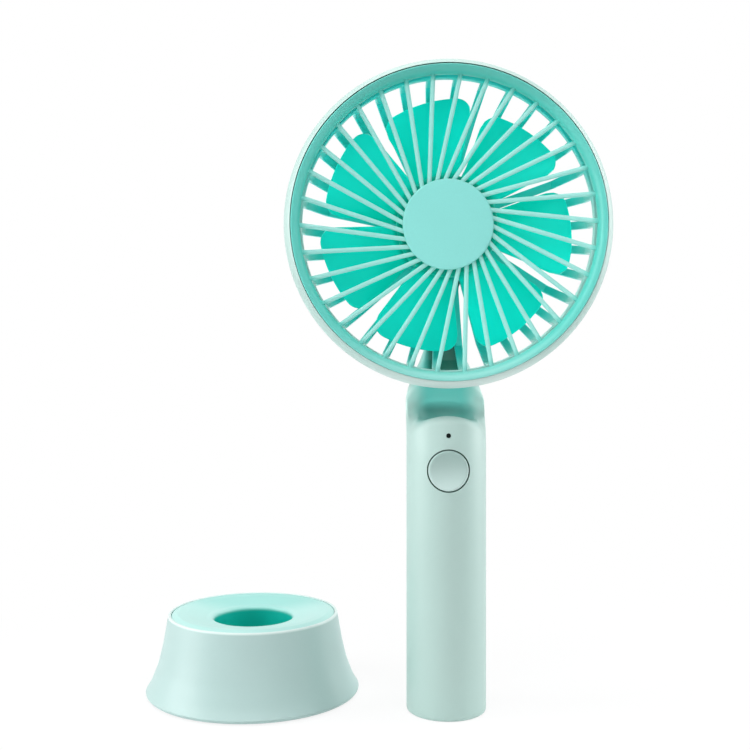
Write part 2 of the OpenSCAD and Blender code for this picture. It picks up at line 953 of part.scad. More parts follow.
module rear_ribs() {
    end_r = flange_in_r;
    for (k = [0 : rib_n - 1])
        rotate(rib_phase - 90 - asin(rib_tangent / end_r) + 360 * k / rib_n)
            translate([0, rib_tangent + rib_w / 2, 0])
                rotate([90, 0, 0])
                    linear_extrude(rib_w)
                        rib_outline();
}

module motor_bolts(r, z0, z1) {
    for (a = motor_bolt_angles)
        rotate(a)
            translate([motor_screw_r, 0, z0])
                cylinder(h = z1 - z0, r = r);
}

module rear_guard() {
    color(mint)
        in_head()
            difference() {
                union() {
                    sleeve(flange_in_r, flange_r, flange_front, flange_back);
                    rear_ribs();
                    sleeve(motor_r + fit, guard_plate_d / 2, guard_plate_front, guard_back);
                    sleeve(motor_r + fit, sleeve_r, can_front, guard_in + eps);
                    sleeve(bush_r + 0.5, sleeve_r, seat_front, can_front);
                    sector(flange_in_r - 1, flange_in_r + eps, flange_front, flange_front + 1.2, -94, 6);
                }
                motor_bolts(screw_r + fit, seat_front - 1, can_front + 1);
                for (a = guard_bolt_angles)
                    rotate(a)
                        translate([pod_bolt_r, 0, guard_in - 1])
                            cylinder(h = rib_t + 2, r = screw_r + fit);
            }
}

module guard_screws() {
    color("silver")
        in_head()
            for (a = guard_bolt_angles)
                rotate(a)
                    translate([pod_bolt_r, 0, guard_plate_front])
                        screw(rib_t + pod_split_depth - 1);
}

module pod_screws() {
    color("silver")
        in_head()
            for (a = pod_bolt_angles)
                rotate(a)
                    translate([pod_bolt_r, 0, guard_back + pod_sink])
                        screw(pod_screw_len);
}

module motor_can() {
    color("silver")
        in_head()
            difference() {
                union() {
                    sleeve(motor_r - can_wall, motor_r, can_front, can_back);
                    sleeve(bush_r + press, motor_r, can_front, can_front + can_wall);
                }
                motor_bolts(screw_r, can_front - 1, can_front + 2);
            }
}

module motor_end_bell() {
    color("dimgray")
        in_head() {
            sleeve(bush_r + press, motor_r, can_back, bell_back);
            sleeve(bush_r + press, motor_r - can_wall - press, can_back - bell_lip, can_back);
        }
}

module motor_bushes() {
    color("goldenrod")
        in_head() {
            sleeve(shaft_r + shaft_gap, bush_r, can_front - 0.8, can_front + bush_len);
            sleeve(shaft_r + shaft_gap, bush_r, bell_back - bush_len - 0.6, bell_back);
        }
}

module motor_magnets() {
    over = 1.5;
    color("darkslategray")
        in_head()
            for (a = [-60, 120])
                sector(magnet_out - magnet_t, magnet_out, core_front - over, core_back + over, a, 120);
}

module motor_brushes() {
    color("goldenrod")
        in_head()
            for (side = [-1, 1])
                translate([side * (commutator_r + brush_t) - brush_t / 2, -brush_w / 2, brush_front])
                    cube([brush_t, brush_w, can_back - bell_lip - brush_front]);
}

module motor_terminals() {
    color("goldenrod")
        in_head()
            for (side = [-1, 1])
                translate([side * 2.9 - 0.9, motor_r - 3.2, bell_back])
                    cube([1.8, 0.4, pod_gap - 0.3]);
}

module motor_screws() {
    color("silver")
        in_head()
            for (a = motor_bolt_angles)
                rotate(a)
                    translate([motor_screw_r, 0, seat_front])
                        screw(seat_wall + 1.6);
}

// Helical blade: u runs from the rear edge to the front edge, v from the hub to the tip
function corner_drop(a) = a >= blade_corner ? 0
    : blade_corner - sqrt(pow(blade_corner, 2) - pow(blade_corner - a, 2));
function tip_r(u) =
    let (r = tip_d / 2 - tip_drop * (1 - u), arc = r * blade_sweep * PI / 180)
    r - corner_drop(u * arc) - corner_drop((1 - u) * arc);
function blade_point(u, v, side) =
    let (
        root = hub_r - hub_wall / 2,
        r = root + v * (tip_r(u) - root),
        a = blade_phase - 90 + u * blade_sweep,
        back = hub_front + blade_set + blade_depth
    )
    [r * cos(a), r * sin(a), back - u * blade_depth + side * blade_t / 2];

module blade() {
    nu = blade_cols + 1;
    nv = blade_rows + 1;
    us = [for (i = [0 : blade_cols]) (1 - cos(180 * i / blade_cols)) / 2];
    points = [
        for (side = [-1, 1])
            for (i = [0 : blade_cols])
                for (j = [0 : blade_rows])
                    blade_point(us[i], j / blade_rows, side)
    ];
    back = nu * nv;
    cells = [for (i = [0 : blade_cols - 1]) for (j = [0 : blade_rows - 1]) i * nv + j];
    fronts = [for (c = cells) each [[c, c + 1, c + nv + 1], [c, c + nv + 1, c + nv]]];
    backs = [for (f = fronts) [back + f[0], back + f[2], back + f[1]]];
    edge = concat(
        [for (j = [0 : blade_rows - 1]) [j, j + 1]],
        [for (i = [0 : blade_cols - 1]) [i * nv + blade_rows, (i + 1) * nv + blade_rows]],
        [for (j = [blade_rows : -1 : 1]) [blade_cols * nv + j, blade_cols * nv + j - 1]],
        [for (i = [blade_cols : -1 : 1]) [i * nv, (i - 1) * nv]]
    );
    rims = [for (e = edge) each [[e[1], e[0], back + e[0]], [e[1], back + e[0], back + e[1]]]];
    polyhedron(points, concat(fronts, backs, rims), convexity = 4);
}

module impeller() {
    color(teal)
        in_head() {
            sleeve(shaft_r + press, hub_r, hub_front, hub_in);
            sleeve(hub_r - hub_wall, hub_r, hub_in - eps, hub_back);
            sleeve(shaft_r + press, boss_r, hub_in - eps, hub_in + boss_len);
            for (k = [0 : blade_n - 1])
                rotate(360 * k / blade_n)
                    blade();
        }
}

module motor_shaft() {
    color("silver")
        in_head()
            translate([0, 0, hub_front + fit])
                cylinder(h = bell_back - hub_front - 2 * fit, r = shaft_r);
}

module motor_core() {
    slot_r = core_r * 0.34;
    slot_at = core_r * 0.62;
    slot_mouth = 0.8;
    color("slategray")
        in_head()
            difference() {
                sleeve(shaft_r + press, core_r, core_front, core_back);
                for (a = [0, 120, 240])
                    rotate(a) {
                        translate([slot_at, 0, 0])
                            cylinder(h = far, r = slot_r, center = true);
                        translate([slot_at, -slot_mouth / 2, -far])
                            cube([core_r, slot_mouth, 2 * far]);
                    }
            }
}

module motor_windings() {
    color("chocolate")
        in_head() {
            sleeve(shaft_r + 0.6, core_r - 0.8, core_front - winding_t, core_front);
            sleeve(shaft_r + 0.6, core_r - 0.8, core_back, core_back + winding_t);
        }
}

module commutator() {
    color("peru")
        in_head()
            sleeve(shaft_r + press, commutator_r, commutator_front, commutator_front + commutator_len);
}

module thrust_washer() {
    color("ivory")
        in_head()
            sleeve(shaft_r + press, bush_r - 0.2, can_front + bush_len + 0.3, can_front + bush_len + 0.7);
}

// Side view of the grille's ring, as [radius, depth]
module ring_outline() {
    polygon([
        [ring_r - 0.4, ring_front],
        [ring_r, ring_front + 0.4],
        [ring_r, skirt_back],
        [ring_r - skirt_wall, skirt_back],
        [ring_r - skirt_wall, ring_in_front + ring_depth],
        [ring_in_r, ring_in_front + ring_depth],
        [ring_in_r, ring_in_front],
    ]);
}

module spokes() {
    r0 = cap_r - 1.5;
    r1 = ring_in_r + 0.6;
    s0 = sqrt(pow(r0, 2) - pow(spoke_tangent, 2));
    s1 = sqrt(pow(r1, 2) - pow(spoke_tangent, 2));
    d0 = cap_back + 0.35 + spoke_t / 2;
    d1 = ring_in_front + ring_depth / 2;
    tilt = atan2(d0 - d1, s1 - s0);
    for (k = [0 : spoke_n - 1])
        rotate(spoke_phase - 90 + asin(spoke_tangent / ring_in_r) + 360 * k / spoke_n)
            translate([s0, -spoke_tangent, d0])
                rotate([0, tilt, 0])
                    translate([0, -spoke_w / 2, -spoke_t / 2])
                        cube([norm([s1 - s0, d1 - d0]), spoke_w, spoke_t]);
}

module front_grille() {
    color(mint)
        in_head() {
            rotate_extrude()
                ring_outline();
            spokes();
            sleeve(peg_r + fit, cap_r - 0.3, cap_back, plate_back);
            for (a = lug_angles)
                sector(ring_r - eps, ring_r + lug_rise, lug_front, lug_back, a - lug_deg / 2, lug_deg);
        }
}

module centre_cap() {
    color(mint)
        in_head() {
            translate([0, 0, cap_front])
                cylinder(h = centre_t, r = cap_r);
            translate([0, 0, cap_back - eps])
                cylinder(h = plate_t * 0.8, r = peg_r);
        }
}

module power_button() {
    dish_r = button_r - button_rim;
    ball = (pow(dish_r, 2) + pow(button_dish, 2)) / (2 * button_dish);
    tab_w = 4;
    tab_front = -inner_r + 0.4;
    color(pale) {
        difference() {
            pin_y(button_r, button_face, button_back, button_z);
            translate([0, button_face + button_dish - ball, button_z])
                sphere(ball);
        }
        for (side = [-1, 1])
            translate([-tab_w / 2, tab_front, button_z + side * button_r - button_tab - 0.2])
                cube([tab_w, button_back - tab_front, 2 * button_tab + 0.4]);
    }
}

module switch_plunger() {
    color("black")
        pin_y(plunger_r, button_back, board_front - button_travel - 0.3, button_z);
}

module at_stand() {
    translate([-stand_left, stand_behind, 0])
        children();
}

// Flared half section of the stand, bounded by an arc that can be set back by a wall
module flare_outline(set_back) {
    difference() {
        polygon([
            [0, skirt_low[1]],
            skirt_low,
            skirt_top,
            [0, stand_h],
        ]);
        translate(skirt_c)
            circle(skirt_arc_r + set_back, $fn = 360);
    }
}

module stand_skirt() {
    color(pale)
        at_stand()
            rotate_extrude() {
                difference() {
                    flare_outline(0);
                    flare_outline(stand_wall);
                }
                translate([base_r - skirt_edge, stand_lift + skirt_edge])
                    circle(skirt_edge);
                translate([ledge_in_r, ledge_under])
                    square([insert_r + 0.7 - ledge_in_r, ledge_t]);
            }
}

// Half section of the dished top with its socket cup
module stand_top_outline() {
    cup_r = socket_r + socket_wall;
    chamfer = 0.3;
    lead_in = 0.6;
    polygon([
        [0, socket_floor - socket_wall],
        [cup_r, socket_floor - socket_wall],
        [cup_r, ledge_under],
        [ledge_in_r - fit, ledge_under],
        [ledge_in_r - fit, top_ledge],
        [insert_r, top_ledge],
        [insert_r, top_edge - chamfer],
        [insert_r - chamfer, top_edge],
        [socket_r + lead_in, dish_low],
        [socket_r, dish_low - lead_in],
        [socket_r, socket_floor],
        [0, socket_floor],
    ]);
}

module stand_posts(r, z0, z1) {
    for (a = post_angles)
        rotate(a)
            translate([post_ring, 0, z0])
                cylinder(h = z1 - z0, r = r);
}

module stand_top() {
    color(mint)
        at_stand()
            difference() {
                union() {
                    rotate_extrude()
                        stand_top_outline();
                    stand_posts(post_r, base_plate_top, ledge_under + 0.5);
                }
                stand_posts(screw_r, base_plate_top - 1, base_plate_top + 8);
            }
}

module stand_base_plate() {
    color(pale)
        at_stand()
            difference() {
                translate([0, 0, base_plate_z])
                    cylinder(h = base_t, r = base_plate_r);
                stand_posts(screw_r + fit, 0, base_plate_top + 1);
                stand_posts(screw_head_r + fit, 0, base_plate_z + base_sink);
            }
}

module stand_foot_ring() {
    color("dimgray")
        at_stand()
            sleeve(base_r - 10, base_r - 4, 0, foot_t);
}

module stand_screws() {
    color("silver")
        at_stand()
            for (a = post_angles)
                rotate(a)
                    translate([post_ring, 0, base_plate_z + base_sink])
                        screw(7, flat_head_h);
}

handle_front_shell();
handle_rear_shell();
end_cap();
control_board();
board_components();
indicator_led();
indicator_lens();
tact_switch();
charge_board();
charging_socket();
charging_tongue();
battery_cell();
battery_terminal();
battery_pads();
battery_tabs();
battery_leads();
motor_leads();
head_rim();
rear_guard();
guard_screws();
pod_screws();
motor_can();
motor_end_bell();
motor_bushes();
motor_magnets();
motor_brushes();
motor_terminals();
motor_screws();
impeller();
motor_shaft();
motor_core();
motor_windings();
commutator();
thrust_washer();
front_grille();
centre_cap();
power_button();
switch_plunger();
stand_skirt();
stand_top();
stand_base_plate();
stand_foot_ring();
stand_screws();
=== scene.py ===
import json
import math

import bmesh
import bpy
import numpy as np
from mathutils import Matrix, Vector


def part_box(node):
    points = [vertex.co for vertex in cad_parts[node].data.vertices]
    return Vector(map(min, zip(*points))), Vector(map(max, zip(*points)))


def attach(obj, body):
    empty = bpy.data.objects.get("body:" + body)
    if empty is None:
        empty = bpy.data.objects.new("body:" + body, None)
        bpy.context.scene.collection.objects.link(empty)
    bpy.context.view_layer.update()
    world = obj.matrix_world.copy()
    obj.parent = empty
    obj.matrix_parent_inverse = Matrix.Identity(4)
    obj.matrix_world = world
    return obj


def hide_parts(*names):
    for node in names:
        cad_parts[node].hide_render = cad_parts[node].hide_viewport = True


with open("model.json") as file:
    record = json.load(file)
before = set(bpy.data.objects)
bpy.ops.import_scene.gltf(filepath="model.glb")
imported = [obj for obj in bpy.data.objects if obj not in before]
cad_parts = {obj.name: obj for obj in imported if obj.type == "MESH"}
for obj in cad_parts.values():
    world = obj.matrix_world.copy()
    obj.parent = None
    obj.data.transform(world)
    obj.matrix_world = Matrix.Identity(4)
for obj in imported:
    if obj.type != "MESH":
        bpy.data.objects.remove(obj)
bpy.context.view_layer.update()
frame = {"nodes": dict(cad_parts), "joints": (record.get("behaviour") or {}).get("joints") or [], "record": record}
mm = 0.001
tiny = 1e-6
scene = bpy.context.scene
nodeSlots = {row["node"]: row["material_slot"] for row in frame["record"]["subparts"]}


def boxOf(node):  # low and high corner of a node, in millimetres
    return [np.array(corner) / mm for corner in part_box(node)]


def middleOf(node):
    low, high = boxOf(node)
    return (low + high) / 2


spinJoint = next(joint for joint in frame["joints"] if joint["name"] == "blade_spin")
headCentre = np.array(spinJoint["pos_m"]) / mm
headCentre[1] = 0
standCentre = middleOf("stand_top") * (1, 1, 0)


# camera and light

view = {
    "at": (-23.3, -360.0, 120.8),  # mm
    "focalPixels": 1100.0,
    "framePixels": 750.0,
    "sensor": 36.0,
    "horizonRow": 340.0,  # picture row at the camera's own height
}
studio = {
    "sky": 0.08,
    "top": {"at": (-0.05, 0.0, 0.85), "size": (0.9, 0.7), "watts": 3.0},
    "topFront": {"at": (-0.05, -0.45, 0.75), "size": (0.9, 0.5), "watts": 2.9},
    "left": {"at": (-0.65, -0.10, 0.30), "size": (0.4, 0.9), "watts": 4.3},
    "right": {"at": (0.62, 0.10, 0.30), "size": (0.4, 0.9), "watts": 4.0},
    "front": {"at": (0.0, -0.95, 0.06), "size": (0.9, 0.6), "watts": 1.0},
    "aim": (-0.02, 0.0, 0.11),
}


class Wire:  # a socket of a node tree: arithmetic on it adds Math nodes

    def __init__(self, tree, socket=None):
        self.tree = tree
        self.socket = socket

    def plug(self, socket, value):
        if isinstance(value, Wire):
            self.tree.links.new(value.socket, socket)
        else:
            socket.default_value = value

    def add(self, kind, settings=None, sockets=None, out=0):
        node = self.tree.nodes.new(kind)
        for name, value in (settings or {}).items():
            setattr(node, name, value)
        for name, value in (sockets or {}).items():
            self.plug(node.inputs[name], value)
        return Wire(self.tree, node.outputs[out])

    def maths(self, operation, first, second):
        return self.add("ShaderNodeMath", {"operation": operation}, {0: first, 1: second})

    def __add__(self, other):
        return self.maths("ADD", self, other)

    def __radd__(self, other):
        return self.maths("ADD", other, self)

    def __sub__(self, other):
        return self.maths("SUBTRACT", self, other)

    def __rsub__(self, other):
        return self.maths("SUBTRACT", other, self)

    def __mul__(self, other):
        return self.maths("MULTIPLY", self, other)

    def __rmul__(self, other):
        return self.maths("MULTIPLY", other, self)

    def __truediv__(self, other):
        return self.maths("DIVIDE", self, other)

    def __rtruediv__(self, other):
        return self.maths("DIVIDE", other, self)

    def mix(self, first, second):  # colours, with this wire as the factor
        return self.add("ShaderNodeMix", {"data_type": "RGBA"}, {0: self, 6: first, 7: second}, out=2)

    def ramp(self, low, high):  # smooth step from 0 at low to 1 at high
        return self.add("ShaderNodeMapRange", {"interpolation_type": "SMOOTHSTEP"},
                        {0: self, 1: low, 2: high})


def placeCamera():
    camera = bpy.data.objects.new("camera", bpy.data.cameras.new("camera"))
    scene.collection.objects.link(camera)
    camera.location = [value * mm for value in view["at"]]
    camera.rotation_euler = (math.pi / 2, 0, 0)
    camera.data.sensor_width = view["sensor"]
    camera.data.lens = view["sensor"] * view["focalPixels"] / view["framePixels"]
    camera.data.shift_y = (view["horizonRow"] - view["framePixels"] / 2) / view["framePixels"]
    scene.camera = camera


def softbox(name, lamp):
    light = bpy.data.lights.new(name, "AREA")
    light.shape = "RECTANGLE"
    light.size, light.size_y = lamp["size"]
    light.energy = lamp["watts"]
    obj = bpy.data.objects.new(name, light)
    scene.collection.objects.link(obj)
    obj.location = lamp["at"]
    aim = Vector(studio["aim"]) - Vector(lamp["at"])
    obj.rotation_euler = aim.to_track_quat("-Z", "Y").to_euler()


def seenByEye(wires):  # 1 for what the camera sees directly, in a mirror or through glass
    rays = wires.add("ShaderNodeLightPath")
    node = rays.socket.node
    paths = [Wire(wires.tree, node.outputs[name]) for name in
             ("Is Camera Ray", "Is Glossy Ray", "Is Transmission Ray")]
    return wires.maths("MAXIMUM", wires.maths("MAXIMUM", paths[0], paths[1]), paths[2])


def lightWorld():
    world = bpy.data.worlds.new("studio")
    scene.world = world
    world.use_nodes = True
    wires = Wire(world.node_tree)
    background = world.node_tree.nodes["Background"]
    background.inputs["Color"].default_value = (1, 1, 1, 1)
    wires.plug(background.inputs["Strength"], studio["sky"] + seenByEye(wires) * (1 - studio["sky"]))


ground = {
    "reach": 4.0, "colour": (0.95, 0.955, 0.955, 1), "rough": 0.9,
    "white": 0.86,  # share of plain white close to the object, all white further out
    "fade": (0.09, 0.22),
}


def layFloor():
    reach = ground["reach"]
    mesh = bpy.data.meshes.new("floor")
    corners = [(-reach, -reach, 0), (reach, -reach, 0), (reach, reach, 0), (-reach, reach, 0)]
    mesh.from_pydata(corners, [], [(0, 1, 2, 3)])
    floor = bpy.data.objects.new("floor", mesh)
    scene.collection.objects.link(floor)
    material = bpy.data.materials.new("paleFloor")
    material.use_nodes = True
    tree = material.node_tree
    wires = Wire(tree)
    shader = tree.nodes["Principled BSDF"]
    shader.inputs["Base Color"].default_value = ground["colour"]
    shader.inputs["Roughness"].default_value = ground["rough"]
    glow = wires.add("ShaderNodeEmission", None, {"Color": (1, 1, 1, 1), "Strength": 1.0})
    place = wires.add("ShaderNodeTexCoord", out=3)
    away = wires.add("ShaderNodeVectorMath", {"operation": "LENGTH"}, {0: place}, out=1)
    share = seenByEye(wires) * (ground["white"] + (1 - ground["white"]) * away.ramp(*ground["fade"]))
    lit = wires.add("ShaderNodeMixShader", None, {0: share, 1: Wire(tree, shader.outputs[0]), 2: glow})
    wires.plug(tree.nodes["Material Output"].inputs["Surface"], lit)
    mesh.materials.append(material)


placeCamera()
lightWorld()
for lampName in ("top", "topFront", "left", "right", "front"):
    softbox(lampName + "Softbox", studio[lampName])
layFloor()
print("camera, lights and floor are set")


# finishes

def paint(red, green, blue):  # a screen colour, 0 to 255, as linear RGBA
    shares = [value / 255 for value in (red, green, blue)]
    return tuple(s / 12.92 if s < 0.04045 else ((s + 0.055) / 1.055) ** 2.4 for s in shares) + (1.0,)


def shaded(colour, factor):
    return tuple(min(1.0, value * factor) for value in colour[:3]) + (1.0,)


def startMaterial(name):
    material = bpy.data.materials.new(name)
    material.use_nodes = True
    wires = Wire(material.node_tree)
    shader = material.node_tree.nodes["Principled BSDF"]
    place = wires.add("ShaderNodeTexCoord", out=3)
    return material, shader, wires, place


def noise(wires, place, size, detail=2.0):  # size of one patch, in millimetres
    return wires.add("ShaderNodeTexNoise", {"normalize": True},
                     {"Vector": place, "Scale": 1 / (size * mm), "Detail": detail})


def bump(wires, shader, height, strength, depth):
    normal = wires.add("ShaderNodeBump", None,
                       {"Strength": strength, "Distance": depth * mm, "Height": height})
    wires.plug(shader.inputs["Normal"], normal)


def coordinates(wires, place):  # X, Y and Z in millimetres
    node = wires.add("ShaderNodeSeparateXYZ", None, {"Vector": place}).socket.node
    return [Wire(wires.tree, output) / mm for output in node.outputs]


def distance(first, second, centre):
    across, up = first - centre[0], second - centre[1]
    return first.maths("POWER", across * across + up * up, 0.5)


def headRadius(wires, place):
    x, _, z = coordinates(wires, place)
    return distance(x, z, (headCentre[0], headCentre[2]))


def mirrored(wires, place):  # distance from the middle plane, Y and Z
    x, y, z = coordinates(wires, place)
    return wires.maths("ABSOLUTE", x, 0), y, z


paintedLightSpans = {  # where painted light and shade change a finish's colour: from and to, in millimetres
    "scoop": {"side": (5.0, 12.0), "front": (-9.5, -6.0), "back": (12.6, 15.0), "height": (91.0, 98.0),
              "share": 0.85},
    "neckSideHighlight": {"side": (5.5, 11.0), "front": (-5.0, 0.0), "back": (9.0, 12.0), "height": (95.0, 99.0)},
    "pocket": {"height": (97.0, 101.0), "share": 0.8},
    "neckShade": {"side": (4.0, 8.0), "back": (12.6, 15.0), "height": (108.0, 111.5)},
    "socket": {"radius": (13.4, 14.0), "height": (23.6, 25.6)},
    "dishBackShade": (5.0, 17.0),  # behind the stand's centre
    "skirtEdgeHighlight": (26.2, 26.9),
    "ring": (44.5, 47.2), "ringFootHighlight": (106.0, 128.0), "ringCrownShade": (185.0, 206.0),
    "rimFootLight": (106.0, 120.0),
    "hub": (15.5, 18.5),
    "ribs": {"depth": (-4.0, 7.5), "height": (155.0, 185.0)},
}


def scoopBounceZone(wires, place):  # painted teal bounce light: the pocket behind the lip is painted with the teal light the mint head above throws into it
    span = paintedLightSpans["scoop"]
    side, y, z = mirrored(wires, place)
    inside = (1 - side.ramp(*span["side"])) * y.ramp(*span["front"]) * (1 - y.ramp(*span["back"]))
    return span["share"] * inside * z.ramp(*span["height"])


def neckSideHighlight(wires, place):  # painted light: the soft edges beside the pocket are painted paler
    span = paintedLightSpans["neckSideHighlight"]
    side, y, z = mirrored(wires, place)
    inside = side.ramp(*span["side"]) * y.ramp(*span["front"]) * (1 - y.ramp(*span["back"]))
    return inside * z.ramp(*span["height"])


def pocketShade(wires, place):  # painted shade: the floor of the pocket behind the lip is painted darker
    span = paintedLightSpans["pocket"]
    z = coordinates(wires, place)[2]
    return scoopBounceZone(wires, place) * (1 - z.ramp(*span["height"])) * span["share"]


def neckShade(wires, place):  # painted shade on the neck's front where it passes behind the ribs
    span = paintedLightSpans["neckShade"]
    side, y, z = mirrored(wires, place)
    return (1 - side.ramp(*span["side"])) * z.ramp(*span["height"]) * (1 - y.ramp(*span["back"]))


def socketShade(wires, place):  # painted shade in the deep hole of the stand
    span = paintedLightSpans["socket"]
    x, y, z = coordinates(wires, place)
    reach = distance(x, y, standCentre[:2])
    return (1 - reach.ramp(*span["radius"])) * (1 - z.ramp(*span["height"]))


def dishBackShade(wires, place):  # painted shade: the dish is deeper in tone on its far slope
    near, far = paintedLightSpans["dishBackShade"]
    return coordinates(wires, place)[1].ramp(standCentre[1] + near, standCentre[1] + far)


def skirtEdgeHighlight(wires, place):  # painted highlight on the rolled edge round the dish
    return coordinates(wires, place)[2].ramp(*paintedLightSpans["skirtEdgeHighlight"])


# painted shade and teal bounce: the ring is painted deeper mint than the spokes of the same moulding; also the
# ring's mask for its foot and crown
def ringZone(wires, place):
    return headRadius(wires, place).ramp(*paintedLightSpans["ring"])


def ringFootHighlight(wires, place):  # painted highlight at the ring's foot and painted shade at its crown
    return ringZone(wires, place) * (1 - coordinates(wires, place)[2].ramp(*paintedLightSpans["ringFootHighlight"]))


def ringCrownShade(wires, place):
    return ringZone(wires, place) * coordinates(wires, place)[2].ramp(*paintedLightSpans["ringCrownShade"])


# painted light: the lower part of the rim is painted paler, as if lit from below
def rimFootLight(wires, place):
    return 1 - coordinates(wires, place)[2].ramp(*paintedLightSpans["rimFootLight"])


def buttonDishShade(wires, place):  # painted shade: the button's dish is darker towards its upper edge
    low, high = boxOf("power_button")
    return coordinates(wires, place)[2].ramp(low[2], high[2])


# painted shade: the hub is darker close to the axis, behind the cap
def hubShade(wires, place):
    return 1 - headRadius(wires, place).ramp(*paintedLightSpans["hub"])


def ribLitPatch(wires, place):  # painted light: the lower ribs are painted paler towards the flange
    span = paintedLightSpans["ribs"]
    depth, height = coordinates(wires, place)[1:]
    return (1 - depth.ramp(*span["depth"])) * (1 - height.ramp(*span["height"]))


def twoTones(colour, tones):  # a darker and a lighter shade of one colour
    return [shaded(colour, tone) for tone in tones]


skin = {"driftShare": 0.65, "ramp": (0.3, 0.7), "grainDetail": 3.0}


def mouldedPlastic(name, look):
    material, shader, wires, place = startMaterial(name)
    drift = noise(wires, place, look["driftSize"])  # slow change of shade along the moulding
    grain = noise(wires, place, look["grainSize"], skin["grainDetail"])  # spark-eroded skin
    mix = skin["driftShare"] * drift + (1 - skin["driftShare"]) * grain
    tones = twoTones(look["colour"], (1 - look["drift"], 1 + look["drift"]))
    colour = mix.ramp(*skin["ramp"]).mix(*tones)
    for zone, tint in look.get("zones", ()):
        colour = zone(wires, place).mix(colour, tint)
    wires.plug(shader.inputs["Base Color"], colour)
    wires.plug(shader.inputs["Roughness"], look["rough"] + look["roughSpan"] * (mix - 0.5))
    shader.inputs["Specular IOR Level"].default_value = look["shine"]
    bump(wires, shader, grain, look["grain"], look["grainDepth"])
    return material


metalWear = {"stainSize": 3.0, "scratchDetail": 4.0, "tones": (0.8, 1.12), "roughSpan": 0.2,
             "bump": 0.15, "bumpDepth": 0.02}


def metal(name, look):
    material, shader, wires, place = startMaterial(name)
    stretched = wires.add("ShaderNodeMapping", None, {"Vector": place, "Scale": look["stretch"]})
    scratch = noise(wires, stretched, look["grainSize"], metalWear["scratchDetail"])
    stain = noise(wires, place, metalWear["stainSize"])
    colour = (0.5 * scratch + 0.5 * stain).mix(*twoTones(look["colour"], metalWear["tones"]))
    wires.plug(shader.inputs["Base Color"], colour)
    wires.plug(shader.inputs["Roughness"], look["rough"] + metalWear["roughSpan"] * (scratch - 0.5))
    shader.inputs["Metallic"].default_value = 1.0
    bump(wires, shader, scratch, metalWear["bump"], metalWear["bumpDepth"])
    return material


layers = {"patchSize": 2.0, "stripeShare": 0.75, "ramp": (0.1, 0.8), "tones": (0.55, 1.15),
          "roughSpan": 0.15, "bump": 0.5, "bumpDepth": 0.2}


def layered(name, look):  # stripes along one axis: windings, stacked sheets, shrink wrap
    material, shader, wires, place = startMaterial(name)
    axes = wires.add("ShaderNodeSeparateXYZ", None, {"Vector": place})
    along = Wire(wires.tree, axes.socket.node.outputs[look["axis"]]) / (look["pitch"] * mm)
    stripe = wires.add("ShaderNodeMath", {"operation": "PINGPONG"}, {0: along, 1: 0.5})
    patch = noise(wires, place, layers["patchSize"])
    tone = layers["stripeShare"] * stripe * 2 + (1 - layers["stripeShare"]) * patch
    colour = tone.ramp(*layers["ramp"]).mix(*twoTones(look["colour"], layers["tones"]))
    wires.plug(shader.inputs["Base Color"], colour)
    wires.plug(shader.inputs["Roughness"], look["rough"] + layers["roughSpan"] * (patch - 0.5))
    shader.inputs["Metallic"].default_value = look["metallic"]
    bump(wires, shader, stripe, layers["bump"], look["pitch"] * layers["bumpDepth"])
    return material


tracks = {"pitch": 2.2, "width": 0.05, "shift": 0.35, "clothSize": 0.4, "tones": (0.8, 1.2),
          "rough": 0.35, "roughSpan": 0.2, "bump": 0.4, "bumpDepth": 0.03}


def circuitBoard(name, look):
    material, shader, wires, place = startMaterial(name)
    black, white = (0, 0, 0, 1), (1, 1, 1, 1)
    turned = wires.add("ShaderNodeMapping", None, {"Vector": place, "Rotation": (math.pi / 2, 0, 0)})
    track = wires.add("ShaderNodeTexBrick", {"offset": tracks["shift"]},
                      {"Vector": turned, "Scale": 1 / (tracks["pitch"] * mm), "Mortar Size": tracks["width"],
                       "Color1": black, "Color2": black, "Mortar": white}, out=1)
    cloth = noise(wires, place, tracks["clothSize"])
    base = cloth.mix(*twoTones(look["colour"], tracks["tones"]))
    wires.plug(shader.inputs["Base Color"], track.mix(base, look["trace"]))
    wires.plug(shader.inputs["Roughness"], tracks["rough"] + tracks["roughSpan"] * cloth)
    bump(wires, shader, track, tracks["bump"], tracks["bumpDepth"])
    return material


foamCells = {"tones": (0.5, 1.5), "rough": 0.8, "roughSpan": 0.15, "bump": 0.6, "bumpDepth": 0.3}


def softFoam(name, look):
    material, shader, wires, place = startMaterial(name)
    cells = wires.add("ShaderNodeTexVoronoi", None, {"Vector": place, "Scale": 1 / (look["cell"] * mm)})
    colour = cells.mix(*twoTones(look["colour"], foamCells["tones"]))
    wires.plug(shader.inputs["Base Color"], colour)
    wires.plug(shader.inputs["Roughness"], foamCells["rough"] + foamCells["roughSpan"] * cells)
    bump(wires, shader, cells, foamCells["bump"], look["cell"] * foamCells["bumpDepth"])
    return material


satin = {"driftSize": 38, "drift": 0.02, "grainSize": 0.35, "grain": 0.10, "grainDepth": 0.02,
         "rough": 0.42, "roughSpan": 0.08, "shine": 0.7}
glossy = dict(satin, rough=0.36, shine=0.5)
# painted light and shade: each zone below mixes a lighter or darker colour where light or shade falls
scoopPaintedLight = ((neckSideHighlight, paint(202, 232, 226)), (scoopBounceZone, paint(88, 214, 205)),
              (pocketShade, paint(36, 98, 88)), (neckShade, paint(8, 104, 88)))
skirtPaintedHighlight = ((skirtEdgeHighlight, paint(216, 232, 229)),)
rimPaintedLight = ((rimFootLight, paint(198, 216, 212)),)
buttonPaintedShade = ((buttonDishShade, paint(154, 184, 178)),)
ringPaintedLight = ((ringZone, paint(96, 206, 194)), (ringFootHighlight, paint(136, 214, 205)),
             (ringCrownShade, paint(80, 188, 176)))
ribPaintedLight = ((ribLitPatch, paint(196, 238, 233)),)
dishPaintedShade = ((dishBackShade, paint(154, 215, 208)), (socketShade, paint(9, 190, 175)))
hubPaintedShade = ((hubShade, paint(2, 190, 165)),)
pale = dict(satin, colour=paint(176, 204, 198))
mint = dict(glossy, drift=0.03)
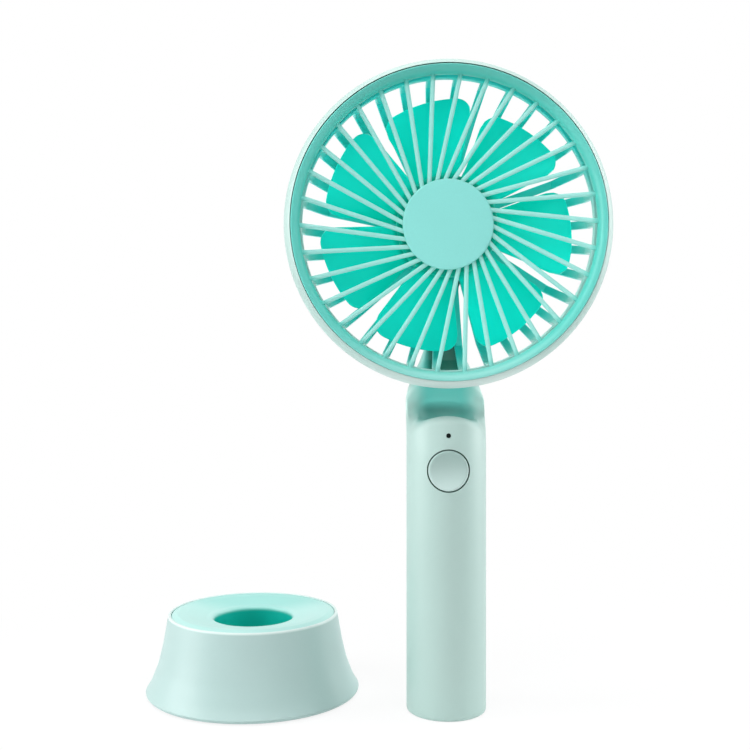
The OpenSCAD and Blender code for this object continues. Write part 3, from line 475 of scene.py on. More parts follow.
finishes = {
    "pale_plastic": mouldedPlastic("palePlastic", pale),
    "skirt": mouldedPlastic("skirtPale", dict(satin, colour=paint(173, 201, 198), grain=0.16,
                                              zones=skirtPaintedHighlight)),
    "rim": mouldedPlastic("rimPale", dict(pale, zones=rimPaintedLight)),
    "button": mouldedPlastic("buttonPale", dict(satin, colour=paint(190, 214, 210), zones=buttonPaintedShade)),
    "handle": mouldedPlastic("handlePale", dict(pale, zones=scoopPaintedLight)),
    "mint_plastic": mouldedPlastic("mintPlastic", dict(mint, colour=paint(141, 227, 220))),
    "grille": mouldedPlastic("grilleMint", dict(mint, colour=paint(160, 230, 222), zones=ringPaintedLight)),
    "guard": mouldedPlastic("guardMint", dict(mint, colour=paint(54, 230, 224), zones=ribPaintedLight)),
    "dish": mouldedPlastic("dishMint", dict(glossy, colour=paint(179, 225, 219), zones=dishPaintedShade)),
    "teal_plastic": mouldedPlastic("tealPlastic", dict(mint, colour=paint(10, 253, 233), shine=0.1,
                                                       zones=hubPaintedShade)),
    "black_plastic": mouldedPlastic("blackPlastic", dict(satin, colour=paint(34, 35, 37), drift=0.15)),
    "washer_plastic": mouldedPlastic("washerPlastic", dict(glossy, colour=paint(224, 219, 204))),
    "led_white": mouldedPlastic("ledResin", dict(glossy, colour=paint(232, 229, 216), rough=0.2)),
    "dark_lens": mouldedPlastic("darkLens", dict(glossy, colour=paint(8, 18, 16), rough=0.5, drift=0.2,
                                                 shine=0.1)),
    "lead_red": mouldedPlastic("leadJacket", dict(satin, colour=paint(178, 48, 40), drift=0.08)),
    "foot_rubber": softFoam("footRubber", {"colour": paint(82, 86, 86), "cell": 0.5}),
    "foam": softFoam("foamPad", {"colour": paint(48, 48, 48), "cell": 0.7}),
    "board_green": circuitBoard("boardGreen", {"colour": paint(24, 96, 62), "trace": paint(58, 140, 92)}),
    "cell_wrap": layered("cellWrap", {"colour": paint(40, 150, 128), "axis": "Z", "pitch": 6.0,
                                      "rough": 0.28, "metallic": 0.0}),
    "copper": layered("copperWire", {"colour": paint(196, 112, 74), "axis": "Y", "pitch": 0.35,
                                     "rough": 0.3, "metallic": 1.0}),
    "core_steel": layered("coreSheets", {"colour": paint(148, 150, 154), "axis": "Y", "pitch": 0.5,
                                         "rough": 0.4, "metallic": 1.0}),
    "ferrite": metal("ferrite", {"colour": paint(70, 70, 73), "rough": 0.6, "grainSize": 0.5,
                                 "stretch": (1, 1, 1)}),
    "steel": metal("steel", {"colour": paint(200, 201, 204), "rough": 0.3, "grainSize": 0.4,
                             "stretch": (1, 8, 1)}),
    "brass": metal("brass", {"colour": paint(214, 180, 110), "rough": 0.3, "grainSize": 0.4,
                             "stretch": (1, 6, 1)}),
}


def dressNodes():  # the inner pieces keep their solids and get their finishes
    for node, slot in nodeSlots.items():
        obj = frame["nodes"][node]
        for place in range(len(obj.material_slots)):
            obj.material_slots[place].material = finishes[slot]
        if not obj.material_slots:
            obj.data.materials.append(finishes[slot])


dressNodes()
print("finishes:", len(finishes))


# shared mesh tools

def newObject(name, points, faces):  # points in millimetres
    mesh = bpy.data.meshes.new(name)
    mesh.from_pydata((np.asarray(points, float) * mm).tolist(), [], [list(face) for face in faces])
    mesh.update()
    obj = bpy.data.objects.new(name, mesh)
    scene.collection.objects.link(obj)
    return obj


def plain(obj):  # bakes the modifiers into the mesh
    bpy.context.view_layer.update()
    graph = bpy.context.evaluated_depsgraph_get()
    mesh = bpy.data.meshes.new_from_object(obj.evaluated_get(graph))
    obj.modifiers.clear()
    old = obj.data
    obj.data = mesh
    bpy.data.meshes.remove(old)
    mesh.name = obj.name
    return obj


def outward(obj):  # merges doubles and turns the faces outwards
    form = bmesh.new()
    form.from_mesh(obj.data)
    bmesh.ops.remove_doubles(form, verts=form.verts, dist=1e-7)
    bmesh.ops.recalc_face_normals(form, faces=form.faces)
    form.to_mesh(obj.data)
    form.free()
    return obj


def joined(name, parts):  # several closed shells in one object
    form = bmesh.new()
    for part in parts:
        form.from_mesh(part.data)
        bpy.data.objects.remove(part)
    mesh = bpy.data.meshes.new(name)
    form.to_mesh(mesh)
    form.free()
    obj = bpy.data.objects.new(name, mesh)
    scene.collection.objects.link(obj)
    return obj


def combine(obj, tool, operation):
    step = obj.modifiers.new(operation, "BOOLEAN")
    step.operation = operation
    step.solver = "MANIFOLD"
    step.object = tool
    plain(obj)
    bpy.data.objects.remove(tool)
    return obj


def handOver(obj, body, nodes, finish=None, creaseDegrees=32):  # finish, shading, parenting to the body and hiding the replaced nodes
    slot = nodeSlots[nodes[0]]
    obj.data.materials.clear()
    obj.data.materials.append(finishes[finish or slot])
    obj.data.shade_smooth()
    obj.data.set_sharp_from_angle(angle=math.radians(creaseDegrees))
    even = obj.modifiers.new("evenShading", "WEIGHTED_NORMAL")
    even.keep_sharp = True
    plain(obj)
    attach(obj, body)
    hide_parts(*nodes)
    print("made", obj.name, len(obj.data.polygons), "faces")


def rounded(corners, steps=6):  # (radius, height, fillet) corners as a smooth closed outline
    points = []
    count = len(corners)
    for index in range(count):
        before = np.array(corners[index - 1][:2], float)
        here = np.array(corners[index][:2], float)
        after = np.array(corners[(index + 1) % count][:2], float)
        fillet = corners[index][2] if len(corners[index]) > 2 else 0
        points += filletArc(before, here, after, fillet, steps)
    return points


filletLimits = {"straight": 1.55, "share": 0.49}  # half angle of a corner left alone, share of a side used


def filletArc(before, here, after, fillet, steps):
    back = before - here
    ahead = after - here
    backLength, aheadLength = np.linalg.norm(back), np.linalg.norm(ahead)
    back, ahead = back / backLength, ahead / aheadLength
    half = math.acos(np.clip(back @ ahead, -1, 1)) / 2
    if fillet <= 0 or half > filletLimits["straight"]:
        return [tuple(here)]
    reach = min(fillet / math.tan(half), filletLimits["share"] * min(backLength, aheadLength))
    fillet = reach * math.tan(half)
    bisector = (back + ahead) / np.linalg.norm(back + ahead)
    centre = here + bisector * fillet / math.sin(half)
    first = math.atan2(*(here + back * reach - centre)[::-1])
    sweep = math.atan2(*(here + ahead * reach - centre)[::-1]) - first
    sweep = (sweep + math.pi) % (2 * math.pi) - math.pi
    angles = [first + sweep * k / steps for k in range(steps + 1)]
    return [(centre[0] + fillet * math.cos(a), centre[1] + fillet * math.sin(a)) for a in angles]


def lathe(name, outline, centre, axis="y", steps=180):  # closed outline of (radius, height)
    turns = np.arange(steps) * 2 * math.pi / steps
    points, rings = [], []
    for radius, height in outline:
        angles = turns if radius > tiny else turns[:1]
        rings.append(range(len(points), len(points) + len(angles)))
        across, up = radius * np.cos(angles), radius * np.sin(angles)
        level = np.full(len(angles), height)
        ring = (across, level, up) if axis == "y" else (across, up, level)
        points += (np.stack(ring, axis=1) + centre).tolist()
    faces = []
    for index in range(len(rings)):
        faces += bridge(rings[index], rings[(index + 1) % len(rings)])
    return outward(newObject(name, points, faces))


def bridge(first, second):  # faces between two rings, either of which may be a pole
    if len(first) == 1 and len(second) == 1:
        return []
    count = max(len(first), len(second))
    faces = []
    for k in range(count):
        nextK = (k + 1) % count
        a = [first[k], first[nextK]] if len(first) > 1 else [first[0]]
        b = [second[nextK], second[k]] if len(second) > 1 else [second[0]]
        faces.append(a + b)
    return faces


def rod(name, radius, start, end, centre, axis="y", steps=96):
    return lathe(name, [(0, start), (radius, start), (radius, end), (0, end)], centre, axis, steps)


def drum(name, first, second):  # two equal outlines as the ends of one solid
    count = len(first)
    faces = [list(range(count)), list(range(2 * count - 1, count - 1, -1))]
    faces += [[k, (k + 1) % count, count + (k + 1) % count, count + k] for k in range(count)]
    return outward(newObject(name, first + second, faces))


def prism(name, outline, reach):  # (y, z) outline pulled out to both sides along X
    return drum(name, *[[(side * reach, y, z) for y, z in outline] for side in (-1, 1)])


# node trees for what repeats

def startTree(name, inputs):
    tree = bpy.data.node_groups.new(name, "GeometryNodeTree")
    tree.interface.new_socket("Geometry", in_out="INPUT", socket_type="NodeSocketGeometry")
    for label, kind in inputs:
        tree.interface.new_socket(label, in_out="INPUT", socket_type="NodeSocket" + kind)
    tree.interface.new_socket("Geometry", in_out="OUTPUT", socket_type="NodeSocketGeometry")
    entry = tree.nodes.new("NodeGroupInput")
    given = {socket.name: Wire(tree, socket) for socket in entry.outputs if socket.name}
    return tree, Wire(tree), given


ringInputs = [("Count", "Int"), ("First angle", "Float"), ("Axis", "Vector"), ("Centre", "Vector"),
              ("Material", "Material")]


def closeAsRing(tree, wires, given, shape):  # copies the shape round an axis and ends the tree
    step = 2 * math.pi / given["Count"]
    turn = given["First angle"] + wires.add("GeometryNodeInputIndex") * step
    spin = wires.add("FunctionNodeAxisAngleToRotation", None, {"Axis": given["Axis"], "Angle": turn})
    points = wires.add("GeometryNodePoints", None, {"Count": given["Count"], "Position": given["Centre"]})
    copies = wires.add("GeometryNodeInstanceOnPoints", None,
                       {"Points": points, "Instance": shape, "Rotation": spin})
    solid = wires.add("GeometryNodeRealizeInstances", None, {"Geometry": copies})
    dressed = wires.add("GeometryNodeSetMaterial", None, {"Geometry": solid, "Material": given["Material"]})
    wires.plug(tree.nodes.new("NodeGroupOutput").inputs[0], dressed)
    return tree


def barRingTree():  # a rounded bar along a path, repeated round an axis
    tree, wires, given = startTree("barRing", ringInputs + [
        ("Width", "Float"), ("Thickness", "Float"), ("Edge round", "Float"), ("Bend round", "Float")])
    path = wires.add("GeometryNodeMeshToCurve", None, {"Mesh": given["Geometry"]})
    path = wires.add("GeometryNodeFilletCurve", {"mode": "POLY"},
                     {"Curve": path, "Count": 6, "Radius": given["Bend round"], "Limit Radius": True})
    path = wires.add("GeometryNodeSetCurveNormal", {"mode": "Z_UP"}, {"Curve": path})
    section = wires.add("GeometryNodeCurvePrimitiveQuadrilateral", {"mode": "RECTANGLE"},
                        {"Width": given["Thickness"], "Height": given["Width"]})
    section = wires.add("GeometryNodeFilletCurve", {"mode": "POLY"},
                        {"Curve": section, "Count": 4, "Radius": given["Edge round"], "Limit Radius": True})
    bar = wires.add("GeometryNodeCurveToMesh", None,
                    {"Curve": path, "Profile Curve": section, "Fill Caps": True})
    return closeAsRing(tree, wires, given, bar)


def copyRingTree():  # any finished shape, repeated round an axis
    tree, wires, given = startTree("copyRing", ringInputs)
    return closeAsRing(tree, wires, given, given["Geometry"])


def runTree(obj, tree, values):
    step = obj.modifiers.new("nodes", "NODES")
    step.node_group = tree
    for item in tree.interface.items_tree:
        if item.in_out == "INPUT" and item.name in values:
            step[item.identifier] = values[item.name]
    return plain(obj)


def barRing(name, path, lateral, bar, slot):  # path of (distance, depth) points, in millimetres
    points = [(distance * mm, depth * mm, lateral * mm) for distance, depth in path]
    mesh = bpy.data.meshes.new(name)
    mesh.from_pydata(points, [(k, k + 1) for k in range(len(points) - 1)], [])
    obj = bpy.data.objects.new(name, mesh)
    scene.collection.objects.link(obj)
    runTree(obj, barTree, {
        "Count": bar["count"], "First angle": math.radians(bar["firstAngle"]), "Axis": (0, 1, 0),
        "Centre": tuple(headCentre * mm), "Material": finishes[slot], "Width": bar["width"] * mm,
        "Thickness": bar["thickness"] * mm, "Edge round": bar["edgeRound"] * mm,
        "Bend round": bar["bendRound"] * mm})
    return outward(obj)


def copyRing(obj, count, firstAngle, axis, centre, slot):
    runTree(obj, copyTree, {
        "Count": count, "First angle": math.radians(firstAngle), "Axis": axis,
        "Centre": tuple(np.array(centre) * mm), "Material": finishes[slot]})
    return outward(obj)


barTree = barRingTree()
copyTree = copyRingTree()
print("node trees are ready")


# handle: one smooth field for tube, lip, scoop, neck and pod, meshed and split at the parting line

handle = {
    "radius": 13.0, "wall": 1.8, "footRound": 1.2, "floor": 3.0,
    "bendHeight": 88.0, "bendSpan": 10.0, "leanDegrees": 16.0,
    "lipTop": 97.2, "lipRound": 2.2, "lipLean": 1.0,
    "lipFade": (1.0, 4.0),  # the lip's rounding ends at this depth, over this length
    "lipArch": (0.017, 2.6),  # the crest falls towards the sides
    "lipWalls": (1.7, 3.2),  # behind the pocket and under the crest, in walls of the tube
    "scoop": (-0.51, 100.69, 8.0),  # y, z, radius
    "pocketBow": (0.016, 3.6), "bowFade": (99.0, 9.0),  # the pocket fades out towards the sides
    "pocketRise": 0.03, "pocketRound": 5.0,
    "neckFront": ((7.08, 98.17), (12.3, 113.9)),  # two points of the sloping front, y and z
    "neckHeights": (94.0, 98.5, 104.5, 116.5, 124.0),
    "neckHalfWidths": (16.0, 13.4, 12.5, 6.7, 5.0), "neckEase": 3.0,
    "neckDeep": 5.0, "deepFrom": (90.0, 10.0), "neckRear": 23.0,
    "neckTaper": 0.9, "neckEdge": 0.3, "neckRound": 4.0, "roundFrom": (102.0, 14.0),
    "edgeHeights": (97.0, 104.0, 110.0, 122.0), "edgeRounds": (3.4, 4.2, 4.2, 0.4),
    "podRadius": 16.5, "podFront": 12.3, "podBack": 26.0, "podRound": 3.0,
    "podFillet": 4.0, "filletFrom": 120.0,
    "parting": ((2, -1), (2, 82.17), (11.38, 98.17), (16.8, 113.9), (17.5, 124.9), (17.5, 190)),
    "seam": 0.16, "halves": (-40, 60), "halfReach": 40,
    "buttonHole": 6.85, "lensHole": 0.78, "frontCut": (-16, -9),
    "portSlot": (9.54, 3.8), "portCut": (8, 16),
    "footOpening": 11.16, "footCut": (-1, 3.4),
    "podOpening": 10.6, "podCut": (10, 16),
    "cell": 0.6, "margins": (1.1, 1.2),  # grid of the mesh, and its room below and above
}


def roundJoin(a, b, radius):  # two fields together, with a fillet
    fillet = np.hypot(np.maximum(radius - a, 0), np.maximum(radius - b, 0))
    return np.maximum(radius, np.minimum(a, b)) - fillet


def roundCut(a, b, radius):  # what two fields share, with a rounded edge
    edge = np.hypot(np.maximum(radius + a, 0), np.maximum(radius + b, 0))
    return np.minimum(-radius, np.maximum(a, b)) + edge


def smoothStep(t):
    t = np.clip(t, 0, 1)
    return t * t * (3 - 2 * t)


def fade(t, span):  # from 0 to 1 after a start, over a length
    return smoothStep((t - span[0]) / span[1])


def softRamp(t, span):  # zero, then rising with slope 1
    blend = (t + span / 2) ** 2 / (2 * span)
    return np.where(t < -span / 2, 0, np.where(t > span / 2, t, blend))


def neckHalfWidth(z):
    steps = (-handle["neckEase"], 0, handle["neckEase"])
    near = [np.interp(z + step, handle["neckHeights"], handle["neckHalfWidths"]) for step in steps]
    return sum(near) / len(near)


def neckShift(z):
    slope = math.tan(math.radians(handle["leanDegrees"]))
    return slope * softRamp(z - handle["bendHeight"], handle["bendSpan"])


def lipLean(z):  # the front below the lip leans back a little with the neck
    return handle["lipLean"] * neckShift(z)


def scoopField(y, z):
    return np.hypot(y - handle["scoop"][0], z - handle["scoop"][1]) - handle["scoop"][2]


def removedField(x, y, z):  # the open space above the lip and in front of the neck
    (y0, z0), (y1, z1) = handle["neckFront"]
    length = math.hypot(y1 - y0, z1 - z0)
    across, ends = x ** 2, (x / handle["radius"]) ** 6
    bow = handle["pocketBow"][0] * across + handle["pocketBow"][1] * ends  # shallower towards the sides
    y = y + bow * (1 - fade(z, handle["bowFade"]))
    slope = ((y - y0) * (z1 - z0) - (z - z0) * (y1 - y0)) / length
    crest = handle["lipTop"] - handle["lipArch"][0] * across - handle["lipArch"][1] * ends
    above = roundCut(np.maximum(slope, y - handle["podFront"]), crest - z, handle["pocketRound"])
    lipEnd, lipSpan = handle["lipFade"]
    lip = handle["lipRound"] * np.clip((lipEnd - y) / lipSpan, 0, 1)
    return roundJoin(above, scoopField(y, z - handle["pocketRise"] * across), lip)


def outerField(x, y, z):
    shift = neckShift(z)
    deep = handle["neckDeep"] * fade(z, handle["deepFrom"])
    tube = np.hypot(x, y - np.clip(y, lipLean(z), shift + deep)) - handle["radius"]
    tube = roundCut(tube, y - shift - handle["radius"], deep)
    side = handle["neckTaper"] * (np.abs(x) - neckHalfWidth(z))
    stem = roundCut(tube, side, handle["neckEdge"] + handle["neckRound"] * fade(z, handle["roundFrom"]))
    stem = roundCut(stem, y - handle["neckRear"], handle["podRound"])
    stem = np.maximum(roundCut(stem, -z, handle["footRound"]), z - headCentre[2])
    pod = np.hypot(x, z - headCentre[2]) - handle["podRadius"]
    pod = roundCut(pod, y - handle["podBack"], handle["podRound"])
    blended = roundJoin(stem, pod, handle["podFillet"])
    body = np.where(z > handle["filletFrom"], blended, np.minimum(stem, pod))
    edge = np.interp(z, handle["edgeHeights"], handle["edgeRounds"])
    return roundCut(body, -removedField(x, y, z), edge)


def hollowField(x, y, z):
    wall = handle["wall"]
    pocketWall, crestWall = handle["lipWalls"]
    tube = np.hypot(x, y - lipLean(z)) - handle["radius"] + wall
    tube = np.maximum(tube, pocketWall * wall - removedField(x, y, z))
    tube = np.maximum(tube, np.maximum(z - handle["lipTop"] + crestWall * wall, handle["floor"] - z))
    pod = np.hypot(x, z - headCentre[2]) - handle["podRadius"] + wall
    pod = np.maximum(pod, np.maximum(handle["podFront"] + wall - y, y - handle["podBack"] + wall))
    return np.minimum(tube, pod)


def handleField(x, y, z):
    return np.maximum(outerField(x, y, z), -hollowField(x, y, z))


def crossings(inside, number, axis):  # one face for each grid edge that the surface crosses
    state, cell = np.moveaxis(inside, axis, 0), np.moveaxis(number, axis, 0)
    first, second = state[:-1, 1:-1, 1:-1], state[1:, 1:-1, 1:-1]
    i, j, k = np.nonzero(first != second)
    faces = np.stack([cell[i, j, k], cell[i, j + 1, k], cell[i, j + 1, k + 1], cell[i, j, k + 1]], axis=1)
    flip = first[i, j, k] == (axis == 1)
    faces[flip] = faces[flip][:, ::-1]
    return faces


relax = {"rounds": 7, "probe": 0.05, "flattest": 0.25, "reach": 0.9}  # reach in cells


def settle(field, points, reach):  # slides the points along the field's slope onto its surface
    start = points.copy()
    probe = relax["probe"]
    for _ in range(relax["rounds"]):
        value = field(*points.T)
        slope = [(field(*(points + step).T) - field(*(points - step).T)) / (2 * probe)
                 for step in probe * np.eye(3)]
        slope = np.stack(slope, axis=1)
        steepness = np.maximum((slope ** 2).sum(axis=1), relax["flattest"])
        points = points - (value / steepness)[:, None] * slope
        points = start + np.clip(points - start, -reach, reach)
    return points


def meshField(name, field, low, high, cell):
    axes = [np.arange(a, b, cell) for a, b in zip(low, high)]
    inside = field(*np.meshgrid(*axes, indexing="ij")) < 0
    size = [n - 1 for n in inside.shape]
    filled = np.zeros(size, int)
    for corner in np.ndindex(2, 2, 2):
        filled += inside[tuple(slice(o, o + n) for o, n in zip(corner, size))]
    active = (filled > 0) & (filled < 8)
    number = np.full(size, -1)
    number[active] = np.arange(active.sum())
    faces = np.concatenate([crossings(inside, number, axis) for axis in range(3)])
    points = np.array(low) + (np.argwhere(active) + 0.5) * cell
    return newObject(name, settle(field, points, relax["reach"] * cell), faces)


def stadium(name, centre, size, start, end, steps=12):  # a long hole along Y
    half, radius = (size[0] - size[1]) / 2, size[1] / 2
    turns = [math.pi * k / steps for k in range(steps + 1)]
    outline = [(half + radius * math.sin(a), radius * math.cos(a)) for a in turns]
    outline += [(-half - radius * math.sin(a), -radius * math.cos(a)) for a in turns]
    ends = [[(centre[0] + x, y, centre[2] + z) for x, z in outline] for y in (start, end)]
    return drum(name, *ends)


def splitSide(name, shift, far):  # everything on one side of the parting line
    line = [(y + shift, z) for y, z in handle["parting"]]
    return prism(name, line + [(far, line[-1][1]), (far, line[0][1])], handle["halfReach"])


def cutHoles(shell):
    buttonAt, lensAt, portAt = (middleOf(n) for n in ("power_button", "indicator_lens", "charging_socket"))
    flat = np.array((1, 0, 1))
    tools = [
        rod("cut", handle["buttonHole"], *handle["frontCut"], buttonAt * flat),
        rod("cut", handle["lensHole"], *handle["frontCut"], lensAt * flat, steps=32),
        stadium("cut", portAt, handle["portSlot"], *handle["portCut"]),
        rod("cut", handle["footOpening"], *handle["footCut"], np.zeros(3), axis="z"),
        rod("cut", handle["podOpening"], *handle["podCut"], headCentre),
    ]
    for tool in tools:
        combine(shell, tool, "DIFFERENCE")


def makeHandle():
    below, above = handle["margins"]
    low = (-handle["podRadius"] - below, -handle["radius"] - below, -below)
    top = headCentre[2] + handle["podRadius"]
    high = (handle["podRadius"] + above, handle["podBack"] + above, top + above)
    shell = meshField("handleShell", handleField, low, high, handle["cell"])
    cutHoles(shell)
    rear = shell.copy()
    rear.data = shell.data.copy()
    scene.collection.objects.link(rear)
    shell.name, rear.name = "handleFront", "handleRear"
    combine(shell, splitSide("half", -handle["seam"] / 2, handle["halves"][0]), "INTERSECT")
    combine(rear, splitSide("half", handle["seam"] / 2, handle["halves"][1]), "INTERSECT")
    handOver(shell, "handle", ["handle_front_shell"], "handle")
    handOver(rear, "handle", ["handle_rear_shell"], "handle")


button = {"shrink": 0.1, "edgeRound": 0.35, "edgeSteps": 6, "rimFlat": 0.3, "dish": 1.5, "rings": 14,
          "steps": 120}


def buttonProfile(radius):  # (radius, depth under the tube's skin); None is the flat back
    edge = button["edgeRound"]
    dishRadius = radius - edge - button["rimFlat"]
    profile = [(radius, None)]
    for k in range(button["edgeSteps"] + 1):
        turn = math.pi / 2 * k / button["edgeSteps"]
        profile.append((radius - edge + edge * math.cos(turn), edge - edge * math.sin(turn)))
    for k in range(button["rings"] + 1):
        share = 1 - k / button["rings"]
        profile.append((dishRadius * share, button["dish"] * (1 - share ** 2)))
    return profile


def makeButton():
    low, high = boxOf("power_button")
    height = (low[2] + high[2]) / 2
    radius = (high[0] - low[0]) / 2 - button["shrink"]
    turns = np.arange(button["steps"]) * 2 * math.pi / button["steps"]
    points, rings = [(0, high[1], 0)], [[0]]
    for ring, depth in buttonProfile(radius):
        angles = turns if ring > tiny else turns[:1]
        x, z = ring * np.cos(angles), ring * np.sin(angles)
        y = lipLean(z + height) - np.sqrt(handle["radius"] ** 2 - x ** 2)
        y = np.full(len(angles), high[1]) if depth is None else depth + y
        rings.append(range(len(points), len(points) + len(angles)))
        points += np.stack((x, y, z), axis=1).tolist()
    faces = []
    for first, second in zip(rings, rings[1:]):
        faces += bridge(first, second)
    pad = newObject("buttonPad", np.array(points) + (0, 0, height), faces)
    handOver(outward(pad), "power_button", ["power_button"], "button")


lens = {"radius": 0.7, "crown": 0.18, "crownSteps": 6, "sink": 0.02, "flange": 0.9}


def makeLens():
    low, high = boxOf("indicator_lens")
    centre = (low + high) / 2 * (1, 0, 1)
    radius, back = lens["radius"], high[1]
    face = lipLean(centre[2]) - handle["radius"] + lens["sink"]
    outline = [(0, face)]
    for k in range(1, lens["crownSteps"] + 1):
        turn = math.pi / 2 * k / lens["crownSteps"]
        outline.append((radius * math.sin(turn), face + lens["crown"] * (1 - math.cos(turn))))
    flange = (high[0] - low[0]) / 2
    step = back - lens["flange"]
    outline += [(radius, step), (flange, step), (flange, back), (0, back)]
    handOver(lathe("lensBead", outline, centre, steps=48), "handle", ["indicator_lens"])


plug = {"recess": 0.25, "recessRadius": 7.2, "stepRadius": 7.6, "stepRound": 0.2, "edgeRound": 0.3}


def makeEndPlug():
    low, high = boxOf("end_cap")
    radius, foot, top = high[0], low[2], high[2]
    recess, step = foot + plug["recess"], plug["stepRound"]
    corners = [(0, recess), (plug["recessRadius"], recess, step), (plug["stepRadius"], foot, step),
               (radius, foot, plug["edgeRound"]), (radius, top), (0, top)]
    handOver(lathe("endPlug", rounded(corners, 4), np.zeros(3), axis="z"), "handle", ["end_cap"])


makeHandle()
makeButton()
makeLens()
makeEndPlug()


# head: rim, grille, cap, impeller and guard

rim = {
    "bowCentre": (46.3, -10.52), "bowRadius": 6.0, "bowSteps": 14, "inner": 50.1, "seat": -9.7,
    "back": [(51.6, -5.2), (49.4, -5.2), (49.4, -6.5), (50.5, -6.5), (50.5, -9.7)],
    "sag": 0.2,  # the grille sits low in the rim by its own play
}


def outerEnd(clock, side, radius):  # turn that brings a bar's outer end to its place, clockwise from the top
    return clock - 90 + math.degrees(math.asin(side / radius))


grille = {
    "ring": [(49.55, -15.97), (49.8, -15.6), (49.8, -10.0), (48.3, -10.0), (48.3, -12.0), (47.0, -12.0),
             (46.98, -12.9), (47.15, -13.9), (47.6, -14.8), (48.25, -15.5), (48.95, -15.9)],
    "plate": [(0, -9.4), (14.2, -9.4, 0.3), (14.2, -7.4, 0.6), (0, -7.4)],
    "spokePath": [(11.2, -8.3), (47.2, -13.0)], "spokeSide": 6.3,
    "spoke": {"count": 34, "firstAngle": outerEnd(4.5, 6.3, 47), "width": 1.42,
              "thickness": 1.5, "edgeRound": 0.55, "bendRound": 0.0},
}
cap = {"edgeRound": 0.45, "crown": 0.25, "crownShare": 0.93, "crownSteps": 8, "edgeDrop": 0.05,
       "thickness": 1.1, "pinRadius": 3.0}
impeller = {
    "count": 7, "rootRadius": 15.4, "tipRadius": 41.6, "tipTaper": 1.2, "firstAngle": 19.25 - 90,
    "sweep": 44.0, "rearDepth": 5.0, "rise": 10.5, "corner": 5.5, "thickness": 1.2, "edgeRound": 0.3,
    "edgeSteps": 3, "edgeDegrees": 50, "across": 36, "along": 12,
    "hub": [(0, -6.6), (16.4, -6.6, 1.2), (16.4, 6.0, 0.3), (15.0, 6.0, 0.3), (15.0, -5.2, 0.6),
            (3.0, -5.2, 0.4), (3.0, -3.4, 0.2), (0.0, -3.4)],
}
guard = {
    "flange": [(46.6, -9.5, 0.3), (50.4, -9.5), (50.4, -6.5), (46.6, -6.5, 0.4)],
    "sleeve": [(2.9, -2.2), (11.7, -2.2, 0.6), (11.7, 10.0, 0.8), (17.5, 10.0, 0.4), (17.5, 12.3),
               (10.1, 12.3), (10.1, -1.0), (2.9, -1.0)],
    "ribPath": [(47.6, -8.0), (46.9, 1.0), (39.6, 11.2), (15.5, 11.2)], "ribSide": 2.0,
    "rib": {"count": 34, "firstAngle": outerEnd(4, 2, 46.6), "width": 2.7,
            "thickness": 1.85, "edgeRound": 0.45, "bendRound": 1.5},
}


def makeRim():
    (r, y), radius, steps = rim["bowCentre"], rim["bowRadius"], rim["bowSteps"]
    inner = rim["inner"]
    first = -math.acos((inner - r) / radius)
    turns = [first * (1 - k / steps) for k in range(steps + 1)]
    outline = [(r + radius * math.cos(a), y + radius * math.sin(a)) for a in turns]
    outline += rim["back"] + [(inner, rim["seat"])]
    shell = lathe("rimShell", outline, headCentre, steps=240)
    for point in shell.data.vertices:
        reach = math.hypot(point.co.x, point.co.z - headCentre[2] * mm)
        if abs(reach - inner * mm) < 1e-5:
            point.co.z += rim["sag"] * mm
    handOver(shell, "handle", ["head_rim"], "rim")


def makeGrille():
    ring = lathe("ring", rounded(grille["ring"], 4), headCentre, steps=240)
    plate = lathe("plate", rounded(grille["plate"], 4), headCentre, steps=120)
    spokes = barRing("spokes", grille["spokePath"], grille["spokeSide"], grille["spoke"], "mint_plastic")
    handOver(joined("grilleMoulding", [ring, plate, spokes]), "front_grille", ["front_grille"], "grille")


def makeCap():
    low, high = boxOf("centre_cap")
    radius, face, end = high[0], low[1], high[1]
    back, edge = face + cap["thickness"], face + cap["crown"] + cap["edgeDrop"]
    corners = []
    for k in range(cap["crownSteps"] + 1):
        share = k / cap["crownSteps"]
        corners.append((radius * cap["crownShare"] * share, face + cap["crown"] * share ** 2))
    corners += [(radius, edge, cap["edgeRound"]), (radius, back), (cap["pinRadius"], back)]
    corners += [(cap["pinRadius"], end), (0, end)]
    handOver(lathe("capDisc", rounded(corners, 5), headCentre, steps=180), "front_grille", ["centre_cap"])


def bladeMesh():
    points = []
    sweep = math.radians(impeller["sweep"])
    for i in range(impeller["across"] + 1):
        u = i / impeller["across"]
        tip = impeller["tipRadius"] - impeller["tipTaper"] * (1 - u)
        fromEdge = min(u, 1 - u) * sweep * impeller["tipRadius"]
        inset = max(0, impeller["corner"] - fromEdge)
        tip -= impeller["corner"] - math.sqrt(impeller["corner"] ** 2 - inset ** 2)
        angle = math.radians(impeller["firstAngle"]) + sweep * u
        for j in range(impeller["along"] + 1):
            radius = impeller["rootRadius"] + (tip - impeller["rootRadius"]) * j / impeller["along"]
            depth = impeller["rearDepth"] - impeller["rise"] * u
            points.append((radius * math.cos(angle), depth, -radius * math.sin(angle)))
    row = impeller["along"] + 1
    faces = [(i * row + j, i * row + j + 1, (i + 1) * row + j + 1, (i + 1) * row + j)
             for i in range(impeller["across"]) for j in range(impeller["along"])]
    return newObject("blades", points, faces)


def makeImpeller():
    blade = bladeMesh()
    solid = blade.modifiers.new("thickness", "SOLIDIFY")
    solid.thickness = impeller["thickness"] * mm
    solid.offset = 0
    edge = blade.modifiers.new("edge", "BEVEL")
    edge.width = impeller["edgeRound"] * mm
    edge.segments = impeller["edgeSteps"]
    edge.limit_method = "ANGLE"
    edge.angle_limit = math.radians(impeller["edgeDegrees"])
    plain(blade)
    copyRing(blade, impeller["count"], 0, (0, 1, 0), headCentre, "teal_plastic")
    core = lathe("hub", rounded(impeller["hub"], 5), headCentre, steps=120)
    handOver(joined("impellerMoulding", [core, blade]), "impeller", ["impeller"])


